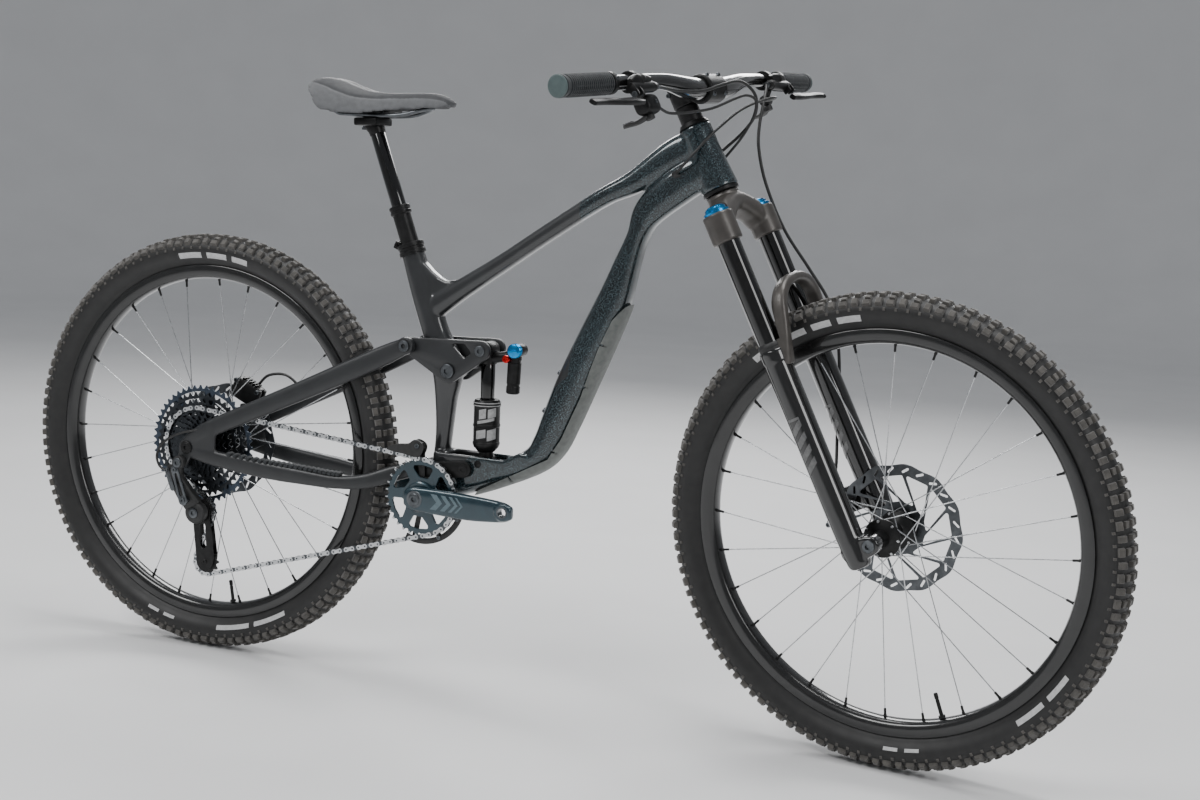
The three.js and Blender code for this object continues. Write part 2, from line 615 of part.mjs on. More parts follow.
function crankArm() {
  const [x, z] = BOTTOM_BRACKET;
  const arm = limb([
    [x - 20, 64, z, 14, 6.5], [x, 64, z, 20, 7.8], [x + 45, 65.5, z, 19, 7.8], [x + 105, 71, z + 1, 17, 7.5],
    [x + 148, 77, z + 1.5, 15, 7], [x + CRANK_LENGTH, 80, z + 2, 14, 6.5], [x + CRANK_LENGTH + 13, 81, z + 2, 9, 5],
  ], { steps: 9, power: 3 });
  const pedalEye = [x + CRANK_LENGTH, z + 2];
  return cut(join(arm, disc(pedalEye, 78, PEDAL_FACE_Y, 13)), disc(pedalEye, 60, 100, 7.2));
}

function turnedHalfRound(made) {
  const [x, z] = BOTTOM_BRACKET;
  const geometry = geometryOf(made).translate(-x, 0, -z).rotateY(Math.PI).translate(x, 0, z);
  return solid(geometry);
}

const leftArm = turnedHalfRound(crankArm());
place("crank_arm_right", join(mirrored(crankArm()), disc(BOTTOM_BRACKET, -60, 56, 14.7)), crankBlue);
place("crank_arm_left", leftArm, crankBlue);

function chainring() {
  const [x, z] = BOTTOM_BRACKET;
  const blank = turned([[15.2, 45.6], [60, 45.6], [60, 49.6], [27, 49.6], [27, 55.4], [15.2, 55.4]],
    acrossAt(BOTTOM_BRACKET), v(0, -1, 0), 22);
  const windows = Array.from({ length: 6 }, (_, i) => {
    const turn = ((i + 0.5) / 6) * 2 * Math.PI;
    const centre = (r, lean) => [x + r * Math.cos(turn + lean), z + r * Math.sin(turn + lean)];
    return link(centre(42, -0.22), 8.5, centre(42, 0.22), 8.5, -60, -40);
  });
  return cut(blank, ...windows);
}
place("chainring", chainring(), crankBlue);

function chainGuide() {
  const [low, high] = [-42.2, -39.9];
  const [x, z] = BOTTOM_BRACKET;
  const around = (radius, turn) => [x + radius * Math.cos(degToRad(turn)), z + radius * Math.sin(degToRad(turn))];
  const ring = turned([[25.4, -high], [34, -high], [34, -low], [25.4, -low]], acrossAt(BOTTOM_BRACKET), v(0, -1, 0));
  const arm = link(around(31, 95), 5, [444, 419], 8, low, high);
  const cheekOutline = [[386, 412], [446, 405], [456, 420], [452, 430], [438, 434], [424, 425], [398, 421]];
  const innerCheek = plate(cheekOutline, low, high);
  const outerCheek = plate(cheekOutline, -54.8, -52.6);
  const roof = plate([[437, 423.5], [454, 420], [451, 429], [438, 433]], -54, high - 0.5);
  const crescent = [];
  for (let turn = -112; turn <= -14; turn += 7) crescent.push(around(81, turn));
  for (let turn = -14; turn >= -112; turn -= 7) crescent.push(around(71, turn));
  const bash = plate(crescent, low - 2, high);
  const struts = [-100, -62, -24].map((turn) => link(around(31, turn), 4.5, around(74, turn), 5, low, high));
  return join(ring, arm, innerCheek, outerCheek, roof, bash, ...struts);
}
place("chain_guide", chainGuide(), blackPlastic);

// Where a chain leaves one wheel for the next, both [x, z]. A wheel whose centre lies on
// the left of the chain's travel has turn = 1, and on its right turn = -1.
function chainTangent(a, ra, turnA, b, rb, turnB) {
  const [dx, dz] = [b[0] - a[0], b[1] - a[1]];
  const heading = Math.atan2(dz, dx) - Math.asin((turnB * rb - turnA * ra) / Math.hypot(dx, dz));
  const [nx, nz] = [-Math.sin(heading), Math.cos(heading)];
  return [
    [a[0] - turnA * ra * nx, a[1] - turnA * ra * nz],
    [b[0] - turnB * rb * nx, b[1] - turnB * rb * nz],
  ];
}

function arcPoints(centre, from, to, anticlockwise) {
  const start = Math.atan2(from[1] - centre[1], from[0] - centre[0]);
  let sweep = Math.atan2(to[1] - centre[1], to[0] - centre[0]) - start;
  if (anticlockwise && sweep < 0) sweep += 2 * Math.PI;
  if (!anticlockwise && sweep > 0) sweep -= 2 * Math.PI;
  const radius = Math.hypot(from[0] - centre[0], from[1] - centre[1]);
  const steps = Math.ceil(Math.abs(sweep) / degToRad(14));
  return Array.from({ length: steps + 1 }, (_, i) => {
    const turn = start + (sweep * i) / steps;
    return [centre[0] + radius * Math.cos(turn), centre[1] + radius * Math.sin(turn)];
  });
}

// A run of chain as a plain band: its middle line, widened both ways.
function chainBand(line) {
  const [halfHeight, halfWidth] = [4.2, 3.1];
  const normals = line.map((_, i) => {
    const [a, b] = [line[Math.max(i - 1, 0)], line[Math.min(i + 1, line.length - 1)]];
    const length = Math.hypot(b[0] - a[0], b[1] - a[1]);
    return [-(b[1] - a[1]) / length, (b[0] - a[0]) / length];
  });
  const edge = (sign) =>
    line.map(([x, z], i) => [x + sign * halfHeight * normals[i][0], z + sign * halfHeight * normals[i][1]]);
  return plate([...edge(1), ...edge(-1).reverse()], CHAIN_Y - halfWidth, CHAIN_Y + halfWidth);
}

function between([ax, az], [bx, bz], gapA, gapB) {
  const length = Math.hypot(bx - ax, bz - az);
  const at = (distance) => [ax + ((bx - ax) * distance) / length, az + ((bz - az) * distance) / length];
  return [at(gapA), at(length - gapB)];
}

const [upperRing, upperCog] = chainTangent(BOTTOM_BRACKET, RING_RADIUS, 1, REAR_AXLE, COG_RADIUS, 1);
const [cogLeave, jockeyMeet] = chainTangent(REAR_AXLE, COG_RADIUS, 1, JOCKEY_UPPER, JOCKEY_RADIUS, -1);
const [lowerJockey, lowerRing] = chainTangent(JOCKEY_LOWER, JOCKEY_RADIUS, 1, BOTTOM_BRACKET, RING_RADIUS, 1);
const ringWrap = arcPoints(BOTTOM_BRACKET, upperRing, lowerRing, false);
const cogWrap = arcPoints(REAR_AXLE, upperCog, cogLeave, true);
const LEAD_IN = 30; // how much of each run next to the sprockets belongs to the wrapped piece
const RUN_GAP = 1.5;
const LOWER_RUN_GAP = 42; // the lower run stops short of the cage, which swings
const JOCKEY_GAP = 6;
const [upperRunEnd] = between(upperCog, upperRing, LEAD_IN + RUN_GAP, 0);
const [wrapStart] = between(upperCog, upperRing, LEAD_IN, 0);
const [, wrapEnd] = between(cogLeave, jockeyMeet, 0, JOCKEY_GAP);
place("chain_upper", chainBand([upperRunEnd, ...ringWrap]), bareSteel);
place("chain_lower", chainBand(between(lowerRing, lowerJockey, RUN_GAP, LOWER_RUN_GAP)), bareSteel);
place("chain_rear", chainBand([wrapStart, ...cogWrap, wrapEnd]), bareSteel);

// ---- Rear derailleur -------------------------------------------------------------------

function derailleurBody() {
  const knuckle = rod(v(-10, -94, 347), v(-10, -82.5, 347), 11, 16);
  const parallelogram = limb([
    [-12, -89, 346, 11, 5], [-32, -86, 322, 13, 7], [-20, -76, 290, 15, 9], [JOCKEY_UPPER[0], -65, 262, 14, 8],
  ], { steps: 8, sides: 12, power: 3 });
  const pivotCase = disc(JOCKEY_UPPER, -73, -57, 15.5);
  return join(knuckle, parallelogram, pivotCase);
}
place("derailleur_body", derailleurBody(), blackAlloy);

function derailleurCage() {
  const outerPlate = link(JOCKEY_UPPER, 17, JOCKEY_LOWER, 15, -55, -53);
  const innerPlate = link(JOCKEY_UPPER, 14, JOCKEY_LOWER, 14, -42.2, -40.4);
  const pins = [JOCKEY_UPPER, JOCKEY_LOWER].map((at) => disc(at, -54, -41, 3, 12));
  const pivot = disc(JOCKEY_UPPER, -56.6, -54, 10);
  return join(outerPlate, innerPlate, ...pins, pivot);
}
place("derailleur_cage", derailleurCage(), blackAlloy);

for (const [name, at] of [["jockey_upper", JOCKEY_UPPER], ["jockey_lower", JOCKEY_LOWER]]) {
  const wheel = cut(disc(at, -50.5, -44.7, JOCKEY_RADIUS - 4.6), disc(at, -60, -30, 3.4, 12));
  place(name, wheel, blackPlastic);
}

// ---- Fork ---------------------------------------------------------------------------------

const LEG_X = 14;
const LEG_Y = 71;
const STANCHION_RADIUS = 18;
const CROWN_LOW = 503;
const CROWN_HIGH = 550;
const SEAL_TOP = 326;
const ARCH_RISE = 12; // the arch stands off the legs from here up, to pass the crown
const CROWN_CLEARANCE = 25;
const upZ = v(0, 0, 1);
const sideX = v(1, 0, 0);

function forkCrown() {
  const bridge = limb([
    [10, -64, 533, 19, 21], [9, -42, 552, 18, 21], [4, 0, 567, 16, 25], [9, 42, 552, 18, 21], [10, 64, 533, 19, 21],
  ], { steps: 8, side: sideX, power: 2.8 });
  const legs = [-1, 1].map((s) => rod(v(LEG_X, s * LEG_Y, CROWN_LOW), v(LEG_X, s * LEG_Y, CROWN_HIGH), 24, 14));
  const bores = [-1, 1].map((s) => rod(v(LEG_X, s * LEG_Y, 480), v(LEG_X, s * LEG_Y, 600), STANCHION_RADIUS + 0.5, 16));
  const steerer = join(rod(v(0, 0, 560), v(0, 0, 612), 15, 14), rod(v(0, 0, 600), v(0, 0, 769), 14.3, 14));
  const raceSeat = rod(v(0, 0, 570), v(0, 0, 585.5), 26, 16);
  const capRooms = [-1, 1].map((s) => rod(v(LEG_X, s * LEG_Y, CROWN_HIGH), v(LEG_X, s * LEG_Y, 620), 21, 16));
  return join(cut(join(bridge, ...legs, raceSeat), ...bores, ...capRooms), steerer);
}
place("fork_crown", forkCrown(), crownGrey, steered);

for (const [side, y] of [["right", -LEG_Y], ["left", LEG_Y]]) {
  const profile = [
    [15.4, 150], [STANCHION_RADIUS, 150], [STANCHION_RADIUS, 550.5], [20, 550.5], [20, 556], [0, 556],
    [0, 545], [15.4, 545],
  ];
  place(`stanchion_${side}`, turned(profile, v(LEG_X, y, 0), upZ), stanchionBlack, steered);
}

function forkLowers() {
  const halves = [-1, 1].map((s) => {
    const y = s * LEG_Y;
    const leg = rod(v(LEG_X, y, -28), v(LEG_X, y, SEAL_TOP), 21.5, 16);
    const [low, high] = [Math.min(s * 55.8, s * 84), Math.max(s * 55.8, s * 84)];
    const dropout = link([LEG_X, 0], 20, [FORK_OFFSET, 0], 15, low, high);
    return join(leg, dropout);
  });
  const arch = limb([
    [24, -70, 300, 14, 14], [41, -69, 350, 10, 13], [52, -58, 396, 9, 12], [58, -24, 417, 8, 12],
    [58, 24, 417, 8, 12], [52, 58, 396, 9, 12], [41, 69, 350, 10, 13], [24, 70, 300, 14, 14],
  ], { steps: 13, sides: 8, side: sideX, power: 3 });
  const caliperMount = box(v(-30, 52.2, 46), v(2, 66, 88));
  const bores = [-1, 1].map((s) => rod(v(LEG_X, s * LEG_Y, -18), v(LEG_X, s * LEG_Y, 360), STANCHION_RADIUS + 0.5, 16));
  const sealRoom = [[0, 0], [20, 0], [20, ARCH_RISE], [CROWN_CLEARANCE, ARCH_RISE], [CROWN_CLEARANCE, 154], [0, 154]];
  const aboveSeals = [-1, 1].map((s) => turned(sealRoom, v(LEG_X, s * LEG_Y, SEAL_TOP), upZ));
  const axleBore = disc([FORK_OFFSET, 0], -100, 100, 7.9);
  return cut(join(...halves, arch, caliperMount), ...bores, ...aboveSeals, axleBore);
}
place("fork_lowers", forkLowers(), lowersBlack, steered);

const frontAxleProfile = [[0, -90], [10, -90], [10, -84.4], [7.4, -84.4], [7.4, 83], [0, 83]];
place("front_axle", turned(frontAxleProfile, v(FORK_OFFSET, 0, 0), across), blackAlloy, steered);

const frontCaliper = caliper([FORK_OFFSET, 0], degToRad(146), 31.6, 51.6);
place("front_caliper", frontCaliper, blackAlloy, steered);

// ---- Cockpit --------------------------------------------------------------------------------

const BAR_CENTRE = v(45, 0, 742);
const GRIP_START = 272;
const BAR_END = 400;
// The bar's outer stretch is straight: where it is at a distance y from the middle.
const barAt = (y) => v(43 - (Math.abs(y) - 170) * 0.056, y, 757);

const spacerProfile = [[14.8, 698.5], [25, 698.5], [21, 706], [18, 706], [18, 731.6], [14.8, 731.6]];
place("headset_spacers", turned(spacerProfile, v(0, 0, 0), upZ), blackAlloy, steered);

function stemBlank() {
  const barClamp = rod(v(BAR_CENTRE.x, -27, BAR_CENTRE.z), v(BAR_CENTRE.x, 27, BAR_CENTRE.z), 23, 18);
  const steererClamp = rod(v(0, 0, 732), v(0, 0, 770), 19.5, 16);
  const neck = limb([[4, 0, 751, 17, 18], [20, 0, 748, 15, 19], [36, 0, 744, 17, 24]], { steps: 4, power: 3 });
  const barBore = rod(v(BAR_CENTRE.x, -40, BAR_CENTRE.z), v(BAR_CENTRE.x, 40, BAR_CENTRE.z), 18.4, 16);
  return cut(join(barClamp, steererClamp, neck), barBore, rod(v(0, 0, 700), v(0, 0, 800), 15, 14));
}
const splitX = BAR_CENTRE.x + 2;
place("stem_body", cut(stemBlank(), box(v(splitX, -50, 690), v(120, 50, 800))), blackAlloy, steered);
place("stem_faceplate", cut(stemBlank(), box(v(-50, -50, 690), v(splitX + 0.8, 50, 800))), blackAlloy, steered);

function handlebar() {
  const half = [
    [30.1, BAR_END, 757, 11.1], [33.3, 343, 757, 11.1], [36.5, 286, 757, 11.1], [39.8, 228, 757, 11.1],
    [43, 170, 757, 11.1], [46, 120, 753, 13], [45.5, 72, 745, 16.6], [45, 36, 742, 17.4],
  ];
  const right = half.map(([x, y, z, r]) => [x, -y, z, r, r]);
  const left = half.map(([x, y, z, r]) => [x, y, z, r, r]).reverse();
  return limb([...right, ...left], { steps: 20, sides: 10, power: 2, side: sideX });
}
place("handlebar", handlebar(), blackAlloy, steered);

// The clamp, the master cylinder and the lever's pivot, on the left; the right mirrors it.
function brakeBody() {
  const at = barAt(222);
  const outward = barAt(300).sub(barAt(200)).normalize();
  const ring = turned([[12, -7], [16.5, -7], [16.5, 7], [12, 7]], at, outward, 12);
  const cylinder = rod(v(59, 190, 741), v(58, 262, 739), 8.5, 12);
  const neck = rod(v(at.x + 12, 222, 748), v(57, 222, 742), 6, 8);
  const pivotEar = rod(v(60, 256, 738), v(62, 258, 727.6), 7, 8);
  return cut(join(ring, cylinder, neck, pivotEar), rod(barAt(180), barAt(270), 12.3, 12));
}

function brakeBlade() {
  return limb([
    [63, 252, 717.4, 4.5, 7.5], [65, 275, 716, 4.5, 7], [63, 305, 717, 4, 6.5], [58, 345, 720, 4, 6],
    [60, 378, 719, 4, 6], [63, 386, 717, 3, 5],
  ], { steps: 10, sides: 10, side: v(0.6, 0, -0.8), power: 3 });
}

const shifterPod = mirrored(join(
  rod(v(38, 178, 721), v(38, 212, 721), 14, 12),
  rod(v(40, 205, 728), v(48, 214, 741), 5.5, 8),
));
const dropperPod = join(
  rod(v(38, 196, 722), v(38, 214, 722), 9, 10),
  rod(v(40, 208, 728), v(50, 214, 741), 5, 8),
);
const leftBody = brakeBody();
place("brake_body_left", join(leftBody, dropperPod), blackAlloy, steered);
place("brake_body_right", join(mirrored(leftBody), shifterPod), blackAlloy, steered);
place("brake_lever_left", brakeBlade(), blackAlloy, steered);
place("brake_lever_right", mirrored(brakeBlade()), blackAlloy, steered);
const thumbPaddle = limb([[34, 201, 704.4, 3, 7], [20, 208, 702, 3, 7], [4, 222, 703, 2.5, 7]], { steps: 6, sides: 8 });
const thumbBoss = rod(v(37, 198, 699), v(37, 198, 706.4), 7, 12);
place("shifter_trigger", mirrored(join(thumbPaddle, thumbBoss)), blackPlastic, steered);
const remotePaddle = limb([[36, 202, 709, 3, 7], [22, 212, 706, 3, 8], [4, 226, 708, 2.5, 8]], { steps: 6, sides: 8 });
const remoteBoss = rod(v(38, 202, 704), v(38, 202, 712.4), 7, 12);
place("dropper_lever", join(remotePaddle, remoteBoss), blackPlastic, steered);

function grip() {
  const start = barAt(GRIP_START);
  const outward = barAt(BAR_END).sub(start).normalize();
  const reach = BAR_END - GRIP_START;
  const profile = [
    [12.2, 0], [16.2, 0], [16.6, reach - 4], [15, reach + 4.4], [0, reach + 4.4], [0, reach + 0.8], [12.2, reach + 0.8],
  ];
  return turned(profile, start, outward, 16);
}
place("grip_left", grip(), gripRubber, steered);
place("grip_right", mirrored(grip()), gripRubber, steered);

// ---- Hoses and cables, in the steered parts' space ---------------------------------------

const HOSE_DIAMETER = 5.2;
const HOUSING_DIAMETER = 4.4;

const frontBrakeHose = [
  [59, 188.6, 741], [59.4, 182, 740], [60, 172, 731], [55, 152, 709], [43, 130, 675], [34, 115, 640],
  [28, 103, 583], [30, 97, 504], [44, 97, 430], [54, 97, 370], [46, 98, 320], [28, 98.5, 270], [4, 98, 220],
  [-18, 92, 170], [-30, 76, 130], [-33, 58, 110], [-31.5, 46, 98], [-29.6, 44, 91.4],
];
const rearBrakeHose = [
  [59, -188.6, 741], [59, -180, 740.4], [57, -150, 738], [56, -120, 735], [64, -60, 730], [76, -20, 733],
  [82, 30, 737], [85, 56, 728], [84, 70, 708], [70, 71, 684], [46, 63, 668], [10, 50, 655], [-18, 38, 645],
  [-38, 26.4, 640], [-46.5, 19.4, 639],
];
const shiftCable = [
  [38, -177.2, 721], [38, -166, 719], [34, -135, 710], [39, -110, 706], [46, -85, 704], [60, -40, 703], [76, 10, 710],
  [84, 40, 712], [86, 60, 702], [72, 62, 682], [44, 54, 660], [10, 44, 642], [-20, 36, 628], [-40, 26, 622],
  [-49.4, 18.8, 621],
];
const dropperCable = [
  [38, 194.8, 722], [40, 186, 721], [58, 172, 714], [80, 148, 708], [90, 112, 704], [74, 80, 703],
  [60, 60, 700], [50, 40, 694], [38, 8, 682], [26, -18, 671], [6, -32, 659], [-5, -36, 654], [-14, -38, 650],
  [-32, -37, 644], [-44, -31.4, 641],
];
place("brake_hose_front", hose(frontBrakeHose, HOSE_DIAMETER, 36), hoseBlack, steered);
place("brake_hose_rear", hose(rearBrakeHose, HOSE_DIAMETER, 26), hoseBlack, steered);
place("shift_cable", hose(shiftCable, HOUSING_DIAMETER, 25), hoseBlack, steered);
place("dropper_cable", hose(dropperCable, HOUSING_DIAMETER, 25), hoseBlack, steered);

export default bike;
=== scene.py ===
"""A full-suspension mountain bike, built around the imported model. Shapes are worked out in
millimetres, in the bike's side view from the ground under the rear axle or along the
steering axis, and turned into metres of the shared frame when a mesh is made."""
import math
from math import asin, atan2, cos, hypot, pi, radians, sin

import bmesh
import bpy
from mathutils import Matrix, Vector


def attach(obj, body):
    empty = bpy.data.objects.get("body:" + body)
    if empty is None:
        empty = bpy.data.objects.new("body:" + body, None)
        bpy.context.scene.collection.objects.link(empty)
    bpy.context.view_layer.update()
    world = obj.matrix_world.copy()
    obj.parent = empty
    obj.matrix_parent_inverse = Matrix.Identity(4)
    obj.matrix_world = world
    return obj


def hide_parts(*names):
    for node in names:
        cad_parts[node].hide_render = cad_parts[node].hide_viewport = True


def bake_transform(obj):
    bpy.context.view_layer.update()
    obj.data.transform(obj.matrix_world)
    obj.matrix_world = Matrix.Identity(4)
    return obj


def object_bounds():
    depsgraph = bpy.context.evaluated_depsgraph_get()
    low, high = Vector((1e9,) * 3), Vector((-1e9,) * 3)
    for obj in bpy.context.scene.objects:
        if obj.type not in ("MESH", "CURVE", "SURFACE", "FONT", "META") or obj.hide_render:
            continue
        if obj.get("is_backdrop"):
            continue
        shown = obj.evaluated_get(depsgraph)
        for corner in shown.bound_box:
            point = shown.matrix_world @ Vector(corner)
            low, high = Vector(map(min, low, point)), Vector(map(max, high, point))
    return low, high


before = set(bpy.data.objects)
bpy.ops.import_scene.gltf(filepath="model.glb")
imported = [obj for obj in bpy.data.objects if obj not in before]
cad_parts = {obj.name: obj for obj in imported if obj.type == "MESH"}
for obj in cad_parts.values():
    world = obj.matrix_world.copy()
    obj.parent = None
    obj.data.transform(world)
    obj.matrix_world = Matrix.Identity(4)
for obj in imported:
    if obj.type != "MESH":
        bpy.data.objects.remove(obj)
cad_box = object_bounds()

# ---- The shared frame ----------------------------------------------------------------

MM = 0.001
WHEEL_RADIUS = 374
REAR_AXLE_BEHIND = 620
HEAD_ANGLE = radians(62.6)
FORK_OFFSET = 44
STEER_ANGLE = radians(-8.9)
REAR_AXLE = (0, WHEEL_RADIUS)
BRACKET = (452, 337)
ROCKER_PIVOT = (484, 552.5)
SEATSTAY_PIVOT = (407.6, 588.7)
SHOCK_TOP = (541.9, 591.4)
SHOCK_BOTTOM = (546, 402)
LINK_FRONT = (523, 391)
LINK_REAR = (435, 380)
SEAT_TOP = Vector((385, 0, 757))
SEAT_ANGLE = radians(68.6)
SEAT_UP = Vector((-cos(SEAT_ANGLE), 0, sin(SEAT_ANGLE)))
JOCKEY_UPPER = (13.9, 257)
JOCKEY_LOWER = (25, 166.5)
X, Y, Z = Vector((1, 0, 0)), Vector((0, 1, 0)), Vector((0, 0, 1))
FORWARD = Vector((sin(HEAD_ANGLE), 0, cos(HEAD_ANGLE)))
UP_AXIS = Vector((-cos(HEAD_ANGLE), 0, sin(HEAD_ANGLE)))
AXIS_FOOT = Vector((1242, 0, WHEEL_RADIUS)) - FORWARD * FORK_OFFSET


def row(p):
    """A point of the side view's millimetres as metres of the shared frame."""
    return Vector((p[0] - REAR_AXLE_BEHIND, p[1], p[2])) * MM


def steered(p):
    """A point of the steered parts: x forward of the steering axis, y left, z up along it."""
    x = p[0] * cos(STEER_ANGLE) - p[1] * sin(STEER_ANGLE)
    y = p[0] * sin(STEER_ANGLE) + p[1] * cos(STEER_ANGLE)
    return row(AXIS_FOOT + FORWARD * x + Y * y + UP_AXIS * p[2])


def at(point, y=0):
    return Vector((point[0], y, point[1]))


# ---- Camera and light ----------------------------------------------------------------

camera_data = bpy.data.cameras.new("camera")
camera_data.lens = 52.3
camera_data.sensor_width = 36
camera = bpy.data.objects.new("camera", camera_data)
bpy.context.scene.collection.objects.link(camera)
turn = Matrix.Rotation(radians(22.51), 4, "Z")
turn = turn @ Matrix.Rotation(radians(90 - 7.80), 4, "X") @ Matrix.Rotation(radians(3.23), 4, "Z")
camera.matrix_world = Matrix.Translation((1.20401, -2.59765, 0.91331)) @ turn
bpy.context.scene.camera = camera


def area_light(name, place, target, power, size, colour=(1, 1, 1)):
    data = bpy.data.lights.new(name, "AREA")
    data.energy, data.shape, data.size, data.size_y = power, "RECTANGLE", size[0], size[1]
    data.color = colour
    light = bpy.data.objects.new(name, data)
    bpy.context.scene.collection.objects.link(light)
    light.location = place
    light.rotation_euler = (Vector(target) - Vector(place)).to_track_quat("-Z", "Y").to_euler()


area_light("key_light", (-1.6, -2.4, 3.0), (0, 0, 0.5), 75, (2.2, 1.0))
area_light("front_light", (3.4, -1.6, 2.2), (0.4, 0, 0.5), 40, (1.2, 1.8))
area_light("rim_light", (-0.8, 3.0, 2.4), (0, 0, 0.6), 80, (3.0, 0.8))
area_light("top_light", (0.2, 0.2, 3.4), (0.1, 0, 0.4), 80, (3.0, 1.0))
world = bpy.data.worlds.new("studio")
world.use_nodes = True
world.node_tree.nodes["Background"].inputs["Color"].default_value = (0.72, 0.75, 0.8, 1)
world.node_tree.nodes["Background"].inputs["Strength"].default_value = 0.40
bpy.context.scene.world = world

# ---- Materials -----------------------------------------------------------------------

LOOKS = {}


def grey(value):
    return value, value, value


class Surface:
    """A procedural material: nodes are added by name and joined to the shader's sockets."""

    def __init__(self, name, metal=0.0, coat=0.0, coat_rough=0.1, sheen=0.0, specular=0.5):
        self.material = bpy.data.materials.new(name)
        self.material.use_nodes = True
        LOOKS[name] = self.material
        self.tree = self.material.node_tree
        self.shader = self.tree.nodes["Principled BSDF"]
        for socket, value in (("Metallic", metal), ("Coat Weight", coat), ("Sheen Weight", sheen),
                              ("Coat Roughness", coat_rough), ("Specular IOR Level", specular)):
            self.shader.inputs[socket].default_value = value
        self.place = self.add("ShaderNodeTexCoord").outputs["Object"]

    def add(self, kind, inputs=(), **settings):
        node = self.tree.nodes.new(kind)
        for key, value in settings.items():
            setattr(node, key, value)
        for key, value in dict(inputs).items():
            self.feed(node.inputs[key], value)
        return node

    def feed(self, socket, value):
        if isinstance(value, bpy.types.NodeSocket):
            self.tree.links.new(value, socket)
        else:
            socket.default_value = value

    def noise(self, scale, detail=3.0):
        inputs = {"Vector": self.place, "Scale": scale, "Detail": detail}
        return self.add("ShaderNodeTexNoise", inputs).outputs["Fac"]

    def cells(self, scale):
        return self.add("ShaderNodeTexVoronoi", {"Vector": self.place, "Scale": scale}).outputs

    def cell_number(self, scale, channel):
        """A random number for each cell."""
        inputs = {"Color": self.cells(scale)["Color"]}
        return self.add("ShaderNodeSeparateColor", inputs).outputs[channel]

    def waves(self, scale, direction, distortion):
        inputs = {"Vector": self.place, "Scale": scale, "Distortion": distortion}
        return self.add("ShaderNodeTexWave", inputs, bands_direction=direction).outputs["Fac"]

    def ramp(self, value, *stops):
        node = self.add("ShaderNodeValToRGB", {"Fac": value})
        for element, (place, colour) in zip(node.color_ramp.elements, (stops[0], stops[-1])):
            element.position, element.color = place, (*colour, 1)
        for place, colour in stops[1:-1]:
            node.color_ramp.elements.new(place).color = (*colour, 1)
        return node.outputs["Color"]

    def math(self, operation, a, b):
        return self.add("ShaderNodeMath", {0: a, 1: b}, operation=operation).outputs[0]

    def mix(self, factor, a, b):
        return self.add("ShaderNodeMix", {0: factor, 6: a, 7: b}, data_type="RGBA").outputs[2]

    def spread(self, value, low, high, start=0.0, stop=1.0):
        inputs = {"Value": value, "From Min": start, "From Max": stop, "To Min": low,
                  "To Max": high}
        return self.add("ShaderNodeMapRange", inputs).outputs["Result"]

    def colour(self, value):
        self.feed(self.shader.inputs["Base Color"], value)

    def rough(self, value):
        self.feed(self.shader.inputs["Roughness"], value)

    def bump(self, height, strength, distance):
        inputs = {"Height": height, "Strength": strength, "Distance": distance}
        self.feed(self.shader.inputs["Normal"],
                  self.add("ShaderNodeBump", inputs).outputs["Normal"])


def plain(name, dark, light, rough, scale=60, grain=900, bump=0.12, **settings):
    """Two close tones in soft clouds, an uneven gloss and a fine grain."""
    made = Surface(name, **settings)
    made.colour(made.ramp(made.noise(scale), (0.3, dark), (0.7, light)))
    made.rough(made.spread(made.noise(scale * 3.1, 5), *rough))
    made.bump(made.noise(grain, 2), bump, 0.0002)


GREY_PAINT = ((0.017, 0.018, 0.0195), (0.023, 0.0245, 0.026))


def flake_paint():
    """Dark teal with a fine metal flake, and matt grey behind the front triangle and above
    the line that rises from the seat tube's foot."""
    made = Surface("flake_paint", metal=0.4, coat=1.0, coat_rough=0.03)
    flake = made.cell_number(1700, "Red")
    bright = made.ramp(flake, (0.84, grey(0)), (1, grey(1)))
    glint = made.ramp(made.cell_number(900, "Green"), (0.93, grey(0)), (0.98, grey(0.5)))
    cloud = made.spread(made.noise(11, 4), 0.6, 0.9)
    sparkle = made.math("MAXIMUM", made.math("MULTIPLY", bright, cloud), glint)
    base = made.ramp(made.noise(9), (0.35, (0.004, 0.007, 0.009)), (0.7, (0.007, 0.014, 0.018)))
    flaked = made.mix(sparkle, base, (0.20, 0.30, 0.33, 1))
    where = made.add("ShaderNodeSeparateXYZ", {"Vector": made.place}).outputs
    edge = row((700, 0, 0)).x
    behind = made.spread(where["X"], 1, 0, edge, edge + 0.002)
    run = made.math("SUBTRACT", where["X"], row((500, 0, 0)).x)
    line_foot, line_slope = 0.385, 0.9
    height = made.math("SUBTRACT", made.math("SUBTRACT", where["Z"], line_foot),
                       made.math("MULTIPLY", run, line_slope))
    greyed = made.math("MULTIPLY", behind, made.math("GREATER_THAN", height, 0.0))
    matt = made.ramp(made.noise(30), (0.3, GREY_PAINT[0]), (0.7, GREY_PAINT[1]))
    made.colour(made.mix(greyed, flaked, matt))
    made.rough(made.spread(greyed, 0.22, 0.42))
    made.bump(flake, 0.04, 0.0001)


def rubber(name, dark, light, rough, scales, bump, **settings):
    """Dusty rubber: scales are those of its dust, its gloss and its grain."""
    made = Surface(name, **settings)
    made.colour(made.ramp(made.noise(scales[0], 6), (0.3, dark), (0.75, light)))
    made.rough(made.spread(made.noise(scales[1], 4), *rough))
    made.bump(made.noise(*scales[2]), *bump)


def brushed(name, dark, light, rough, direction="X"):
    """Metal with fine streaks along one direction."""
    made = Surface(name, metal=1.0)
    streaks = made.waves(420, direction, 6.0)
    clouds = made.ramp(made.noise(80), (0.3, dark), (0.7, light))
    made.colour(made.mix(made.spread(streaks, 0, 0.45), clouds, (*light, 1)))
    made.rough(made.spread(made.noise(150, 4), *rough))
    made.bump(streaks, 0.08, 0.0001)


